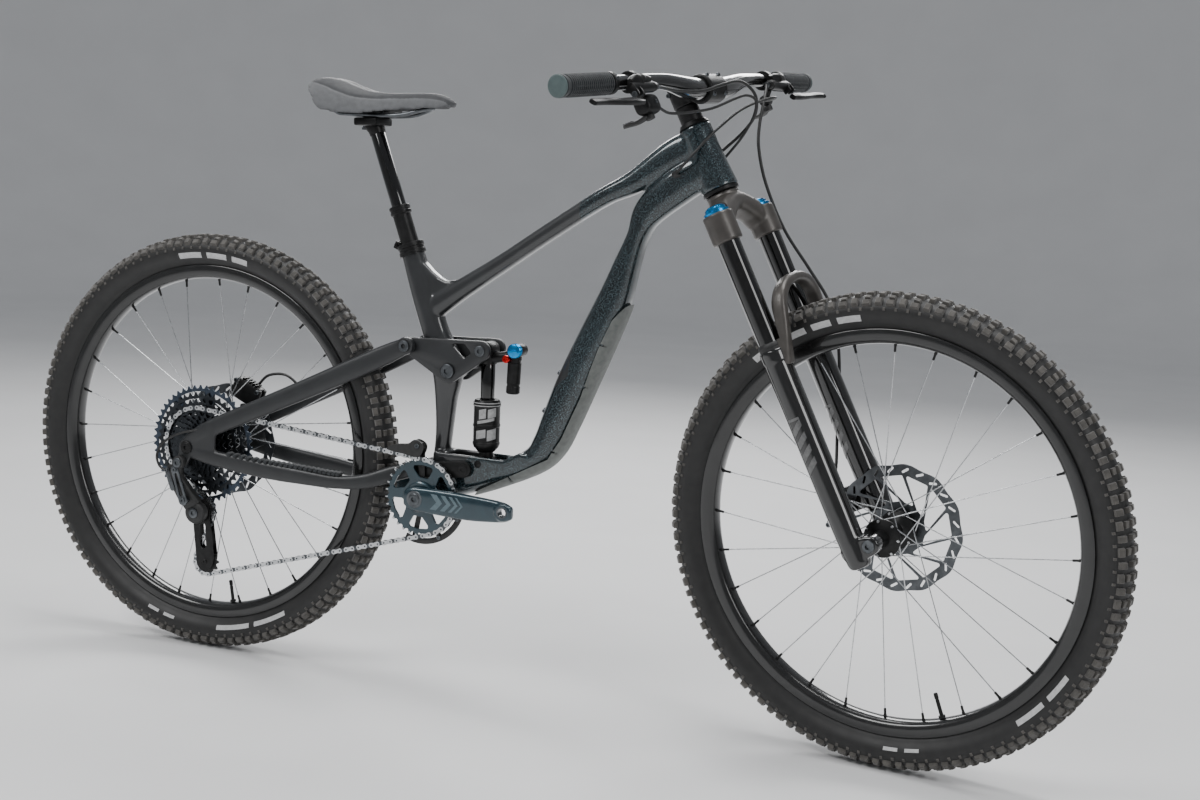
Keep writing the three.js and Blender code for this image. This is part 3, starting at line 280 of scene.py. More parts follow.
def carbon_blue():
    """Gloss teal carbon with lighter slanting streaks, as on a laid-up crank arm."""
    made = Surface("crank_blue", metal=0.45, coat=0.8, coat_rough=0.08)
    chip = made.mix(0.5, made.noise(46, 2), made.waves(210, "DIAGONAL", 3.0))
    made.colour(made.ramp(chip, (0.25, (0.009, 0.024, 0.034)), (0.6, (0.015, 0.042, 0.057)),
                          (0.9, (0.024, 0.062, 0.080))))
    made.rough(made.spread(chip, 0.22, 0.34))


def ribbed(name, dark, light, rough):
    """Moulded rubber or cover with a pebbled grain."""
    made = Surface(name, sheen=0.2, specular=0.3)
    made.colour(made.ramp(made.noise(120, 4), (0.3, dark), (0.7, light)))
    made.rough(made.spread(made.noise(90, 4), *rough))
    made.bump(made.cells(1500)["Distance"], 0.2, 0.0003)


flake_paint()
carbon_blue()
plain("grey_paint", *GREY_PAINT, (0.36, 0.48), 24, coat=0.25, coat_rough=0.35, metal=0.15)
plain("black_alloy", grey(0.010), grey(0.021), (0.30, 0.46), 90, metal=0.6)
plain("black_plastic", grey(0.012), grey(0.022), (0.45, 0.65), 110, 700, 0.2)
plain("rim_black", grey(0.008), grey(0.015), (0.16, 0.30), 40, metal=0.3, coat=0.7,
      coat_rough=0.08)
plain("stanchion_coat", grey(0.004), grey(0.009), (0.05, 0.12), 50, 1500, 0.02, metal=0.7,
      coat=1.0, coat_rough=0.03)
plain("crown_grey", (0.060, 0.055, 0.050), (0.088, 0.080, 0.073), (0.34, 0.48), 50,
      metal=0.45, coat=0.3, coat_rough=0.3)
plain("lowers_black", grey(0.006), grey(0.010), (0.10, 0.20), 50, 1400, 0.03, metal=0.2,
      coat=1.0, coat_rough=0.04)
plain("cap_teal", (0.060, 0.088, 0.088), (0.085, 0.118, 0.118), (0.4, 0.55), 120)
plain("decal_grey", grey(0.10), grey(0.16), (0.3, 0.45), 200, metal=0.4, coat=0.6)
plain("decal_silver", grey(0.30), grey(0.42), (0.35, 0.5), 200, metal=0.3)
plain("decal_white", grey(0.45), grey(0.58), (0.6, 0.8), 200)
plain("chevron_teal", (0.075, 0.120, 0.140), (0.105, 0.155, 0.180), (0.3, 0.4), 200,
      metal=0.3, coat=0.6)
plain("hose_black", grey(0.011), grey(0.024), (0.32, 0.5), 150, 1200, 0.1)
brushed("dark_steel", (0.06, 0.065, 0.07), (0.15, 0.16, 0.17), (0.25, 0.45))
brushed("bright_steel", (0.42, 0.43, 0.44), (0.66, 0.67, 0.68), (0.18, 0.36))
brushed("rotor_steel", (0.065, 0.070, 0.075), (0.125, 0.132, 0.14), (0.3, 0.45))
brushed("cog_blue", (0.034, 0.045, 0.062), (0.080, 0.100, 0.130), (0.3, 0.45))
brushed("cog_dark", (0.022, 0.025, 0.029), (0.055, 0.060, 0.066), (0.3, 0.45))
brushed("anodised_blue", (0.010, 0.18, 0.48), (0.03, 0.34, 0.72), (0.18, 0.32), "Z")
brushed("anodised_red", (0.38, 0.010, 0.012), (0.62, 0.03, 0.03), (0.2, 0.34), "Z")
rubber("tyre_rubber", grey(0.006), (0.013, 0.0125, 0.012), (0.42, 0.62), (70, 40, (1200, 3)),
       (0.25, 0.0003), sheen=0.1)
rubber("knob_rubber", (0.052, 0.049, 0.045), (0.105, 0.098, 0.089), (0.7, 0.95),
       (90, 60, (900, 4)), (0.4, 0.0004), sheen=0.3, specular=0.3)
ribbed("guard_rubber", (0.120, 0.128, 0.122), (0.165, 0.175, 0.166), (0.6, 0.85))
ribbed("grip_rubber", (0.016, 0.018, 0.020), (0.036, 0.040, 0.043), (0.7, 0.92))
ribbed("saddle_cover", (0.078, 0.080, 0.084), (0.100, 0.103, 0.108), (0.5, 0.7))
ribbed("saddle_panel", (0.030, 0.031, 0.034), (0.045, 0.047, 0.050), (0.45, 0.6))

# ---- Shells: (points, faces) in millimetres ---------------------------------------------


def polar(radius, turn, centre=(0, 0)):
    return centre[0] + radius * cos(turn), centre[1] + radius * sin(turn)


def turns(count):
    """Turns evenly spaced round a circle."""
    return [2 * pi * k / count for k in range(count)]


def joined(shells):
    points, faces = [], []
    for more_points, more_faces in shells:
        base = len(points)
        points += more_points
        faces += [tuple(base + i for i in face) for face in more_faces]
    return points, faces


def flipped(shells):
    """The shells on the bike's other side."""
    return [([Vector((p[0], -p[1], p[2])) for p in points], [f[::-1] for f in faces])
            for points, faces in shells]


def both_sides(shells):
    return shells + flipped(shells)


def moved(shells, matrix):
    return [([matrix @ Vector(p) for p in points], faces) for points, faces in shells]


def across_axis(axis):
    axis = Vector(axis).normalized()
    reference = Y if abs(axis.y) < 0.9 else X
    u = axis.cross(reference).normalized()
    return axis, u, axis.cross(u)


def stitched(rings):
    """Faces from each ring of point numbers to the next; a ring may repeat one point."""
    faces = []
    for a, b in zip(rings, rings[1:]):
        for i in range(len(a)):
            j = (i + 1) % len(a)
            face = tuple(dict.fromkeys((a[i], b[i], b[j], a[j])))
            if len(face) > 2:
                faces.append(face)
    return faces


def lofted(rings, ends=True):
    """A skin over rings of points, with flat ends or none."""
    count = len(rings[0])
    numbers = [tuple(range(k * count, (k + 1) * count)) for k in range(len(rings))]
    faces = stitched(numbers) + ([numbers[0][::-1], numbers[-1]] if ends else [])
    return [p for ring in rings for p in ring], faces


def lathe(profile, origin, axis, segments=40, closed=False):
    """[radius, height] points turned about the line from origin along axis."""
    axis, u, w = across_axis(axis)
    points, rings = [], []
    for radius, height in profile:
        base = Vector(origin) + axis * height
        if radius < 1e-6:
            rings.append([len(points)] * segments)
            points.append(base)
            continue
        rings.append(list(range(len(points), len(points) + segments)))
        points += [base + (u * cos(t) + w * sin(t)) * radius for t in turns(segments)]
    return points, stitched(rings + rings[:1] if closed else rings)


def hoop(profile, segments, centre=(0, 0)):
    """A closed ring turned about a wheel's axle, or about a line beside it."""
    return lathe(profile, at(centre), Y, segments, True)


def rod(start, end, radius, segments=28, ease=0.8):
    """A turned bar with its two end edges rounded over."""
    start, end = Vector(start), Vector(end)
    length = (end - start).length
    r = min(ease, radius * 0.45, length * 0.3)
    half = [(0, 0), (radius - r, 0), (radius - r * 0.3, r * 0.3), (radius, r)]
    profile = half + [(across, length - along) for across, along in reversed(half)]
    return lathe(profile, start, end - start, segments)


def disc(point, low, high, radius, segments=32, ease=0.8):
    return rod(at(point, low), at(point, high), radius, segments, ease)


SHARP = 0.01


def bolt(origin, axis, radius, height, segments=24):
    """A round bolt head with a six-sided socket in its face."""
    axis, u, w = across_axis(axis)
    profile = [(0, 0), (radius, 0), (radius, height * 0.75), (radius * 0.88, height),
               (radius * 0.58, height)]
    points, faces = lathe(profile, origin, axis, segments)
    rings = [range(len(points) - segments, len(points))]
    for depth in (height, height * 0.25):
        rings.append(range(len(points), len(points) + segments))
        for t in turns(segments):
            reach = radius * 0.46 * cos(pi / 6) / cos((t % (pi / 3)) - pi / 6)
            points.append(Vector(origin) + axis * depth + (u * cos(t) + w * sin(t)) * reach)
    return points, faces + stitched(rings) + [tuple(rings[-1])]


def bolts(places, axis, radius, height, segments=24):
    return [bolt(place, axis, radius, height, segments) for place in places]


def catmull(values, t):
    """A uniform Catmull-Rom line through the values, at t from 0 to 1."""
    last = len(values) - 1
    place = min(t * last, last - 1e-9)
    i = int(place)
    f = place - i
    b, c = values[i], values[i + 1]
    a = values[i - 1] if i > 0 else b * 2 - c
    d = values[i + 2] if i + 2 <= last else c * 2 - b
    m0, m1 = (c - a) * 0.5, (d - b) * 0.5
    return (b * 2 - c * 2 + m0 + m1) * f**3 + (c * 3 - b * 3 - m0 * 2 - m1) * f**2 + m0 * f + b


def rounded_section(half_up, half_side, sides, power):
    def rounded(value, half):
        return math.copysign(abs(value) ** (2 / power), value) * half
    middles = [2 * pi * (i + 0.5) / sides for i in range(sides)]
    return [(rounded(cos(t), half_up), rounded(sin(t), half_side)) for t in middles]


def limb(stations, sides=28, steps=36, power=2.4, side=Y, section=rounded_section):
    """A limb through stations [x, y, z, half height, half width], with its ends closed flat."""
    middle = [Vector(s[:3]) for s in stations]
    sizes = [Vector((s[3], s[4], 0)) for s in stations]
    rings = []
    for k in range(steps + 1):
        t = k / steps
        along = catmull(middle, min(t + 0.004, 1)) - catmull(middle, max(t - 0.004, 0))
        along.normalize()
        across = (side - along * side.dot(along)).normalized()
        up = across.cross(along)
        size = catmull(sizes, t)
        rings.append([catmull(middle, t) + up * a + across * b
                      for a, b in section(size.x, size.y, sides, power)])
    points, faces = lofted(rings, ends=False)
    count = len(rings[0])
    for start, ring, order in ((0, rings[0], -1), (steps * count, rings[-1], 1)):
        if section is rounded_section:
            points.append(sum(ring, Vector()) / count)
            tip = len(points) - 1
            pairs = [(start + i, start + (i + 1) % count) for i in range(count)]
            faces += [(*pair[::order], tip) for pair in pairs]
        else:
            faces += [(start + i, start + i + 1, start + count - 2 - i,
                       start + count - 1 - i)[::order] for i in range(count // 2 - 1)]
    return points, faces


def tube(line, radius, sides=12):
    """A round tube along points; radius is a number, or one per point."""
    line = [Vector(p) for p in line]
    radii = radius if isinstance(radius, list) else [radius] * len(line)
    up = across_axis(line[1] - line[0])[1]
    rings = []
    for k, here in enumerate(line):
        along = (line[min(k + 1, len(line) - 1)] - line[max(k - 1, 0)]).normalized()
        up = (up - along * up.dot(along)).normalized()
        across = along.cross(up)
        rings.append([here + (up * cos(t) + across * sin(t)) * radii[k] for t in turns(sides)])
    return lofted(rings)


def patch(place, turn, radii, heights, slant=0.0, count=12):
    """A thin raised patch on a round body: place gives the point at a turn, radius and height."""
    (inner, outer), (low, high) = radii, heights
    rings = []
    for k in range(count + 1):
        t = radians(turn[0] + (turn[1] - turn[0]) * k / count)
        lift = slant * k / count
        rings.append([place(t, r, h + lift) for r, h in (
            (inner, low), (outer, low), (outer, high), (inner, high))])
    return lofted(rings)


def length_of(line):
    return sum((b - a).length for a, b in zip(line, line[1:]))


def smooth_line(points, spacing=6.0):
    """Points close together on the smooth line through the given ones."""
    points = [Vector(p) for p in points]
    steps = max(8, int(length_of(points) / spacing))
    return [catmull(points, k / steps) for k in range(steps + 1)]


def around(circles, steps=14):
    """An outline stretched round circles of the side view, [x, z, radius]."""
    def normal(a, b):
        run, rise = b[0] - a[0], b[1] - a[1]
        return atan2(rise, run) - pi / 2 + asin((a[2] - b[2]) / hypot(run, rise))
    outline = []
    for i, (x, z, radius) in enumerate(circles):
        start = normal(circles[i - 1], circles[i])
        sweep = (normal(circles[i], circles[(i + 1) % len(circles)]) - start) % (2 * pi)
        outline += [polar(radius, start + sweep * k / steps, (x, z)) for k in range(steps + 1)]
    return outline


def circle_line(centre, radius, count=32):
    return [polar(radius, t, centre) for t in turns(count)]


def slab(outline, low, high, holes=(), edge=0.6):
    """A flat plate of the side view from y = low to y = high, with holes and broken edges."""
    curve = bpy.data.curves.new("slab", "CURVE")
    curve.dimensions, curve.fill_mode = "2D", "BOTH"
    curve.extrude, curve.bevel_depth = (high - low) / 2 - edge, edge
    curve.bevel_resolution, curve.offset = 1 if edge > 0.7 else 0, -edge
    for ring in (outline, *holes):
        spline = curve.splines.new("POLY")
        spline.points.add(len(ring) - 1)
        spline.use_cyclic_u = True
        for point, (x, z) in zip(spline.points, ring):
            point.co = (x, z, 0, 1)
    holder = bpy.data.objects.new("slab", curve)
    bpy.context.scene.collection.objects.link(holder)
    graph = bpy.context.evaluated_depsgraph_get()
    mesh = bpy.data.meshes.new_from_object(holder.evaluated_get(graph))
    middle = (low + high) / 2
    points = [Vector((v.co.x, middle - v.co.z, v.co.y)) for v in mesh.vertices]
    faces = [tuple(p.vertices) for p in mesh.polygons]
    bpy.data.objects.remove(holder)
    bpy.data.meshes.remove(mesh)
    bpy.data.curves.remove(curve)
    return points, faces


def link(a, ra, b, rb, low, high, edge=0.8, holes=()):
    return slab(around([(*a, ra), (*b, rb)]), low, high, holes, edge)


def tilt(angle, axis="Y"):
    return Matrix.Rotation(angle, 4, axis)


def block(centre, size, turn=Matrix.Identity(4), edge=1.2):
    """A box with its edges rounded over, turned about its middle."""
    made = bmesh.new()
    bmesh.ops.create_cube(made, size=1)
    for vertex in made.verts:
        vertex.co = Vector(vertex.co[i] * size[i] for i in range(3))
    bmesh.ops.bevel(made, geom=made.edges[:], offset=min(edge, min(size) * 0.42), segments=2,
                    affect="EDGES", profile=0.6)
    matrix = Matrix.Translation(centre) @ turn
    made.verts.index_update()
    points = [matrix @ v.co for v in made.verts]
    faces = [tuple(v.index for v in f.verts) for f in made.faces]
    made.free()
    return points, faces


# ---- Meshes --------------------------------------------------------------------------

# The bodies whose shapes are worked out in another space than the side view's.
SPACES = dict.fromkeys(
    ("steering", "lowers", "left_brake_lever", "right_brake_lever", "trigger", "remote"), steered)


def mesh_object(name, shells, to=row):
    points, faces = joined(shells)
    mesh = bpy.data.meshes.new(name)
    mesh.from_pydata([to(p) for p in points], [], faces)
    made = bmesh.new()
    made.from_mesh(mesh)
    bmesh.ops.remove_doubles(made, verts=made.verts, dist=1e-6)
    bmesh.ops.dissolve_degenerate(made, edges=made.edges, dist=1e-7)
    bmesh.ops.recalc_face_normals(made, faces=made.faces)
    made.to_mesh(mesh)
    made.free()
    thing = bpy.data.objects.new(name, mesh)
    bpy.context.scene.collection.objects.link(thing)
    return thing


def bake(thing, kind, **settings):
    """One modifier, applied to the mesh at once."""
    modifier = thing.modifiers.new(kind, kind)
    for key, value in settings.items():
        setattr(modifier, key, value)
    graph = bpy.context.evaluated_depsgraph_get()
    mesh = bpy.data.meshes.new_from_object(thing.evaluated_get(graph))
    old = thing.data
    thing.modifiers.remove(modifier)
    thing.data = mesh
    bpy.data.meshes.remove(old)


def trim(thing, operation, name, shells, to=row, **settings):
    """Cuts the piece with a tool made of shells, or keeps only what is inside it."""
    tool = mesh_object(name, shells, to)
    bake(thing, "BOOLEAN", operation=operation, solver="EXACT", object=tool, **settings)
    bpy.data.objects.remove(tool)


def shade(thing, angle):
    thing.data.shade_smooth()
    made = bmesh.new()
    made.from_mesh(thing.data)
    for edge in made.edges:
        edge.smooth = len(edge.link_faces) == 2 and edge.calc_face_angle(0) < radians(angle)
    made.to_mesh(thing.data)
    made.free()


def finish_piece(thing, look, body, replaces=()):
    thing.data.materials.clear()
    thing.data.materials.append(LOOKS[look])
    if body:
        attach(thing, body)
    if replaces:
        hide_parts(replaces)


def piece(name, shells, look, body, replaces=(), angle=35):
    thing = mesh_object(name, shells, SPACES.get(body, row))
    shade(thing, angle)
    finish_piece(thing, look, body, replaces)


def melted(thing, voxel, smooth):
    """The piece's shells run into one skin, which is then smoothed."""
    bake(thing, "REMESH", mode="VOXEL", voxel_size=voxel * MM)
    bake(thing, "SMOOTH", factor=0.5, iterations=smooth)


def fused(name, shells, look, body, voxel, smooth, cutters, replaces=()):
    """Shells melted into one skin, smoothed, then bored and trimmed."""
    to = SPACES.get(body, row)
    thing = mesh_object(name, shells, to)
    melted(thing, voxel, smooth)
    trim(thing, "DIFFERENCE", name + "_tool", cutters, to, use_self=True)
    shade(thing, 40)
    finish_piece(thing, look, body, replaces=replaces)


# ---- Hoses and cable housings -------------------------------------------------------------


def declare_cord(line, to):
    path = [to(p) for p in line]


BRAKE_HOSE = 5.2
HOUSING = 4.4
HOSES = {"brake_hose_front": (BRAKE_HOSE,
                              [(59, 188.6, 741), (59.4, 182, 740), (60, 172, 731), (55, 152, 709),
                               (43, 130, 675), (34, 115, 640), (28, 103, 583), (30, 97, 504),
                               (44, 97, 430), (54, 97, 370), (46, 98, 320), (28, 98.5, 270),
                               (4, 98, 220), (-18, 92, 170), (-30, 76, 130), (-33, 58, 110),
                               (-31.5, 46, 98), (-29.6, 44, 91.4)]),
         "brake_hose_rear": (BRAKE_HOSE,
                             [(59, -188.6, 741), (59, -180, 740.4), (57, -150, 738),
                              (56, -120, 735), (64, -60, 730), (76, -20, 733), (82, 30, 737),
                              (85, 56, 728), (84, 70, 708), (70, 71, 684), (46, 63, 668),
                              (10, 50, 655), (-18, 38, 645), (-38, 26.4, 640), (-46.5, 19.4, 639)]),
         "shift_cable": (HOUSING, [(38, -177.2, 721), (38, -166, 719), (34, -135, 710),
                                   (39, -110, 706), (46, -85, 704), (60, -40, 703), (76, 10, 710),
                                   (84, 40, 712), (86, 60, 702), (72, 62, 682), (44, 54, 660),
                                   (10, 44, 642), (-20, 36, 628), (-40, 26, 622),
                                   (-49.4, 18.8, 621)]),
         "dropper_cable": (HOUSING, [(38, 194.8, 722), (40, 186, 721), (58, 172, 714),
                                     (80, 148, 708), (90, 112, 704), (74, 80, 703), (60, 60, 700),
                                     (50, 40, 694), (38, 8, 682), (26, -18, 671), (6, -32, 659),
                                     (-5, -36, 654), (-14, -38, 650), (-32, -37, 644),
                                     (-44, -31.4, 641)])}
for name, (diameter, route) in HOSES.items():
    line = smooth_line(route, 7)
    hose = mesh_object(name + "_hose", [tube(line, diameter / 2, 14)], steered)
    shade(hose, 50)
    finish_piece(hose, "hose_black", None, replaces=name)
    if name == "brake_hose_front":
        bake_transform(hose)
    else:
        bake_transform(hose)
    declare_cord(line, steered)

# ---- Frame ---------------------------------------------------------------------------


def on_seat(along):
    return SEAT_TOP + SEAT_UP * along


def on_steering(along):
    return AXIS_FOOT + UP_AXIS * along


HEAD_BOTTOM, HEAD_TOP = 592, 698
DOWN_TUBE = [
    (905, 0, 910, 29, 24), (860, 0, 880, 30, 24), (815, 0, 838, 25, 23), (798, 0, 798, 17, 23),
    (782, 0, 751, 21, 24), (764, 0, 694, 27, 26), (735, 0, 625, 30, 28), (705, 0, 554, 31, 29),
    (680, 0, 489, 29, 30), (662, 0, 446, 26, 30), (636, 0, 416, 21, 30), (563, 0, 379, 18, 29),
    (500, 0, 356, 18, 29), (455, 0, 340, 18, 30),
]
TOP_TUBE = [
    (898, 0, 950, 26, 20), (853, 0, 929, 26, 20), (787, 0, 883, 19, 20), (734, 0, 855, 15, 19),
    (641, 0, 793, 14, 18), (562, 0, 738, 14.5, 18), (490, 0, 690, 17, 18), (440, 0, 655, 20, 17),
    (425, 0, 640, 14, 14),
]
SEAT_TUBE = [(385, 0, 757, 18.5, 18.5), (393, 0, 737, 19, 18.5), (417, 0, 676, 23, 18.5),
             (441, 0, 613, 23, 19), (466, 0, 556, 28, 21), (467, 0, 500, 19, 17),
             (466, 0, 440, 14, 15), (462, 0, 392, 14, 15), (455, 0, 345, 16, 18)]


def down_tube(offset=0.0, sides=40, steps=70):
    """The tube's shell, or a skin a little way outside it."""
    stations = [(x, y, z, up + offset, wide + offset) for x, y, z, up, wide in DOWN_TUBE]
    return limb(stations, sides, steps, 2.6)


gusset = slab([(400, 700), (408, 736), (420, 726), (432, 715), (446, 706), (462, 700), (490, 706),
               (470, 670), (430, 660)], -12, 12, edge=4)
cradle = slab([(462, 414), (592, 414), (622, 430), (640, 425), (604, 396), (545, 365), (480, 342),
               (466, 350)], 22, 30, edge=1.5)
bridge = block((470, 0, 399), (20, 60, 30), edge=4)
frame_shells = [down_tube(), limb(TOP_TUBE, sides=36, steps=70, power=2.6),
                limb(SEAT_TUBE, sides=36, steps=60),
                lathe([(0, HEAD_BOTTOM), (30.5, HEAD_BOTTOM), (29.5, HEAD_BOTTOM + 12),
                       (26, HEAD_BOTTOM + 60), (25.4, HEAD_TOP - 8), (25, HEAD_TOP), (0, HEAD_TOP)],
                      AXIS_FOOT, UP_AXIS, 64), gusset, cradle, *flipped([cradle]), bridge,
                disc(BRACKET, -36.5, 36.5, 25, 48), disc(ROCKER_PIVOT, -23.6, 23.6, 15)]
frame_bores = [
    lathe([(18.7, -20.4), (45, -20.4), (45, 30), (18.7, 30)], SEAT_TOP, SEAT_UP, 48, closed=True),
    rod(on_seat(-205), on_seat(20), 15.7, 40, SHARP),
    rod(on_steering(HEAD_BOTTOM - 10), on_steering(HEAD_TOP + 10), 20, 40, SHARP),
    disc(BRACKET, -60, 60, 21.5, 40, SHARP), disc(ROCKER_PIVOT, -60, 60, 8.3, 28, SHARP),
    disc(LINK_FRONT, -60, 60, 8.3, 28, SHARP), disc(SHOCK_BOTTOM, -60, 60, 6.5, 24, SHARP),
    disc(SHOCK_BOTTOM, -21.8, 21.8, 17, 32, SHARP),
]
fused("frame_monocoque", frame_shells, "flake_paint", "frame", 2.2, 9, frame_bores,
      replaces="main_frame")

GUARD = [(815, 704), (790, 684), (772, 662), (754, 621), (739, 579), (724, 532), (694, 460),
         (672, 424), (624, 398), (549, 358), (536, 346), (540, 310), (700, 340), (790, 460),
         (850, 620), (850, 704)]


def smooth_outline(points, each=4):
    points = [Vector((p[0], p[1], 0)) for p in points]
    ring = points[-2:] + points + points[:2]
    count = len(ring) - 1
    return [catmull(ring, (2 + k / each) / count)[:2] for k in range(len(points) * each)]


def down_tube_guard():
    """A rubber skin over the down tube's front, with short notches on both its edges."""
    skin = mesh_object("down_tube_guard_rubber", [down_tube(4.4, 48, 90)])
    notch_places = [((757, 620), 0.40), ((728, 550), 0.38), ((683, 436), 0.54), ((608, 380), 1.1)]
    notches = [block((x, s * 32, z), (60, 20, 4.5), tilt(a), 0.4)
               for (x, z), a in notch_places for s in (-1, 1)]
    trim(skin, "INTERSECT", "guard_shape", [slab(GUARD, -50, 50, edge=SHARP)])
    trim(skin, "DIFFERENCE", "guard_inner", [down_tube(0.8, 48, 90)])
    trim(skin, "DIFFERENCE", "guard_notches", notches)
    shade(skin, 30)
    finish_piece(skin, "guard_rubber", "frame", replaces="down_tube_guard")


down_tube_guard()

cup = [(15.5, -6), (28.2, -6), (29, -5), (29, -0.4), (19.6, -0.4), (19.6, 14), (15.5, 14)]
piece("headset_lower_race", [lathe(cup, on_steering(HEAD_BOTTOM), UP_AXIS, 56, True)],
      "black_alloy", "frame", replaces="headset_lower_cup")

clamp_ring = lathe([(19.1, -19.6), (22.2, -19.6), (22.8, -18.8), (22.8, -13), (21.6, -12),
                    (21.6, -7.6), (22.8, -6.6), (22.8, -0.8), (22.2, 0), (19.1, 0)], SEAT_TOP,
                   SEAT_UP, 56, True)
clamp_lugs = [block((363, s * 4.4, 753), (9, 5.4, 13), tilt(0.37), 1) for s in (-1, 1)]
piece("seat_clamp_ring", [clamp_ring, *clamp_lugs, bolt((362.5, -7, 753), -Y, 3.2, 2.6)],
      "black_alloy", "frame", replaces="seat_clamp")

bracket_cup = [(15.3, -43), (22.6, -43), (23.5, -42.2), (23.5, -36.9), (20.8, -36.9), (20.8, 36.9),
               (23.5, 36.9), (23.5, 42.2), (22.6, 43), (15.3, 43)]
piece("bottom_bracket_cups", [hoop(bracket_cup, 56, BRACKET)], "black_alloy", "frame",
      replaces="bottom_bracket")

pivot_caps = [disc(ROCKER_PIVOT, -21, 21, 7.9)]
for s in (-1, 1):
    pivot_caps.append(bolt(at(ROCKER_PIVOT, s * 33.6), Y * s, 12, 4.2, 36))
    pivot_caps.append(disc(ROCKER_PIVOT, *sorted((s * 20, s * 33.8)), 7.9))
piece("rocker_pivot_axle", pivot_caps, "dark_steel", "frame", replaces="rocker_axle")

port = [(2.9, 7), (5.6, 7), (6.6, 4), (7.4, 0), (7.4, -6), (2.9, -6)]
ports = [lathe(port, AXIS_FOOT - FORWARD * 49.5 + UP_AXIS * along + Y * (19.6 * s),
               FORWARD * 0.75 + Y * (s * 0.66), 28, True)
         for s, along in ((1, 640), (1, 623), (-1, 640))]
piece("cable_ports", ports, "black_plastic", "frame")

BOSSES = (((592, 0, 411), (-0.45, 0, 0.89)), ((653, 0, 499), (-0.86, 0, 0.5)),
          ((677, 0, 564), (-0.86, 0, 0.5)))
bosses = [bolt(Vector(spot) + Vector(out) * 1.5, out, 5, 4.5) for spot, out in BOSSES]
piece("bottle_bosses", bosses, "dark_steel", "frame")

# ---- Seatpost and saddle -------------------------------------------------------------------

outer_post = [(13.1, -185), (15.3, -185), (15.3, 50), (16.2, 51), (17.6, 52), (18, 53.5), (18, 56),
              (17.2, 57), (17.2, 60), (18, 61), (18, 64.6), (17, 66), (13.1, 66)]
piece("dropper_outer_tube", [lathe(outer_post, SEAT_TOP, SEAT_UP, 56, True)], "black_alloy",
      "frame", replaces="dropper_outer")
head_plate = tilt(-0.05)
post_shells = [rod(on_seat(-50), on_seat(196), 12.7, 48),
               limb([(*on_seat(193), 12.9, 12.9), (*on_seat(202), 14, 14.6), (307, 0, 951, 15, 15),
                     (305, 0, 957, 17, 15)], sides=32, steps=14, side=Y),
               block((304, 0, 957), (44, 56, 13.6), head_plate, 4),
               block((304, 0, 967), (26, 27, 20), head_plate, 3),
               block((304, 0, 974.4), (32, 56, 5.4), head_plate, 1.6)]
piece("dropper_inner_post", post_shells[:1], "stanchion_coat", "dropper",
      replaces="dropper_stanchion")
piece("saddle_clamp", post_shells[1:], "black_alloy", "dropper")
clamp_bolts = [rod((x, 0, 947), (x, 0, 981), 2.8, 20) for x in (288, 321)]
piece("saddle_clamp_bolts", clamp_bolts + [bolt((x, 0, 947), -Z, 4.6, 4) for x in (288, 321)],
      "dark_steel", "dropper")

rail_half = [(222, 34, 988), (232, 31, 981), (248, 24, 970), (262, 22, 968), (300, 22, 968),
             (340, 22, 968), (372, 20, 971), (400, 14, 979), (414, 6, 983)]
rail_line = rail_half + [(417, 0, 984)] + [(x, -y, z) for x, y, z in reversed(rail_half)]
piece("saddle_rail_loop", [tube(smooth_line(rail_line, 6), 3.5, 18)], "dark_steel", "dropper",
      replaces="saddle_rails", angle=60)


def arch_section(height, half_width, sides, power):
    thickness = 11
    ring = []
    for inset, direction in ((0, 1), (thickness, -1)):
        for i in range(sides):
            share = direction * (1 - 2 * i / (sides - 1))
            droop = abs(share) ** 2.4 * (height - inset * 0.9)
            ring.append((droop + inset, share * (half_width - inset * 0.25)))
    return ring


SADDLE = [(189, 0, 1014, 10, 38), (195, 0, 1021, 16, 52), (206, 0, 1026, 26, 62),
          (225, 0, 1028, 41, 69), (250, 0, 1025, 53, 71), (275, 0, 1017, 50, 65),
          (305, 0, 1009.5, 41, 50), (345, 0, 1008, 32, 33), (395, 0, 1010, 29, 24),
          (428, 0, 1008.5, 26, 20), (450, 0, 1002, 19, 16), (462, 0, 994, 11, 9)]


def saddle_width(x):
    """Half the saddle's width at x along it."""
    for (x0, *_, w0), (x1, *_, w1) in zip(SADDLE, SADDLE[1:]):
        if x <= x1:
            return w0 + (w1 - w0) * max(0, x - x0) / (x1 - x0)
    return SADDLE[-1][4]


def saddle():
    """The padded top: a crowned shell with a sewn edge line and a sunken middle channel."""
    def place_of(point):
        x = point.x / MM + REAR_AXLE_BEHIND
        return x, abs(point.y) / MM, saddle_width(x)

    def hump(offset, reach):
        return math.exp(-(offset / reach) ** 2)

    def fade(distance, reach):
        return min(max(distance / reach, 0), 1)

    seam_share, panel_back = 0.62, 204
    thing = mesh_object("saddle_pad", [limb(SADDLE, sides=26, steps=60, section=arch_section)])
    melted(thing, 3, 5)
    made = bmesh.new()
    made.from_mesh(thing.data)
    made.normal_update()
    for vertex in made.verts:
        if vertex.normal.z < 0.15:
            continue
        x, y, width = place_of(vertex.co)
        channel = hump(y, 7) * fade(x - 215, 50) * fade(430 - x, 50)
        seam = hump(y - width * seam_share, 1.8) * fade(x - 200, 20)
        pad = hump(y - width * 0.36, width * 0.22) * fade(330 - x, 90)
        vertex.co += vertex.normal * MM * (-2.6 * channel - 0.9 * seam + 1.2 * pad)
    made.to_mesh(thing.data)
    made.free()
    bake(thing, "SUBSURF", levels=1, render_levels=1)
    thing.data.shade_smooth()
    thing.data.materials.clear()
    for look in ("saddle_cover", "saddle_panel"):
        thing.data.materials.append(LOOKS[look])
    for face in thing.data.polygons:
        x, y, width = place_of(face.center)
        face.material_index = int(face.normal.z > 0.1 and y < width * seam_share and x > panel_back)
    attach(thing, "dropper")
    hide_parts("saddle")


saddle()

# ---- Rocker, links and shock -----------------------------------------------------------------

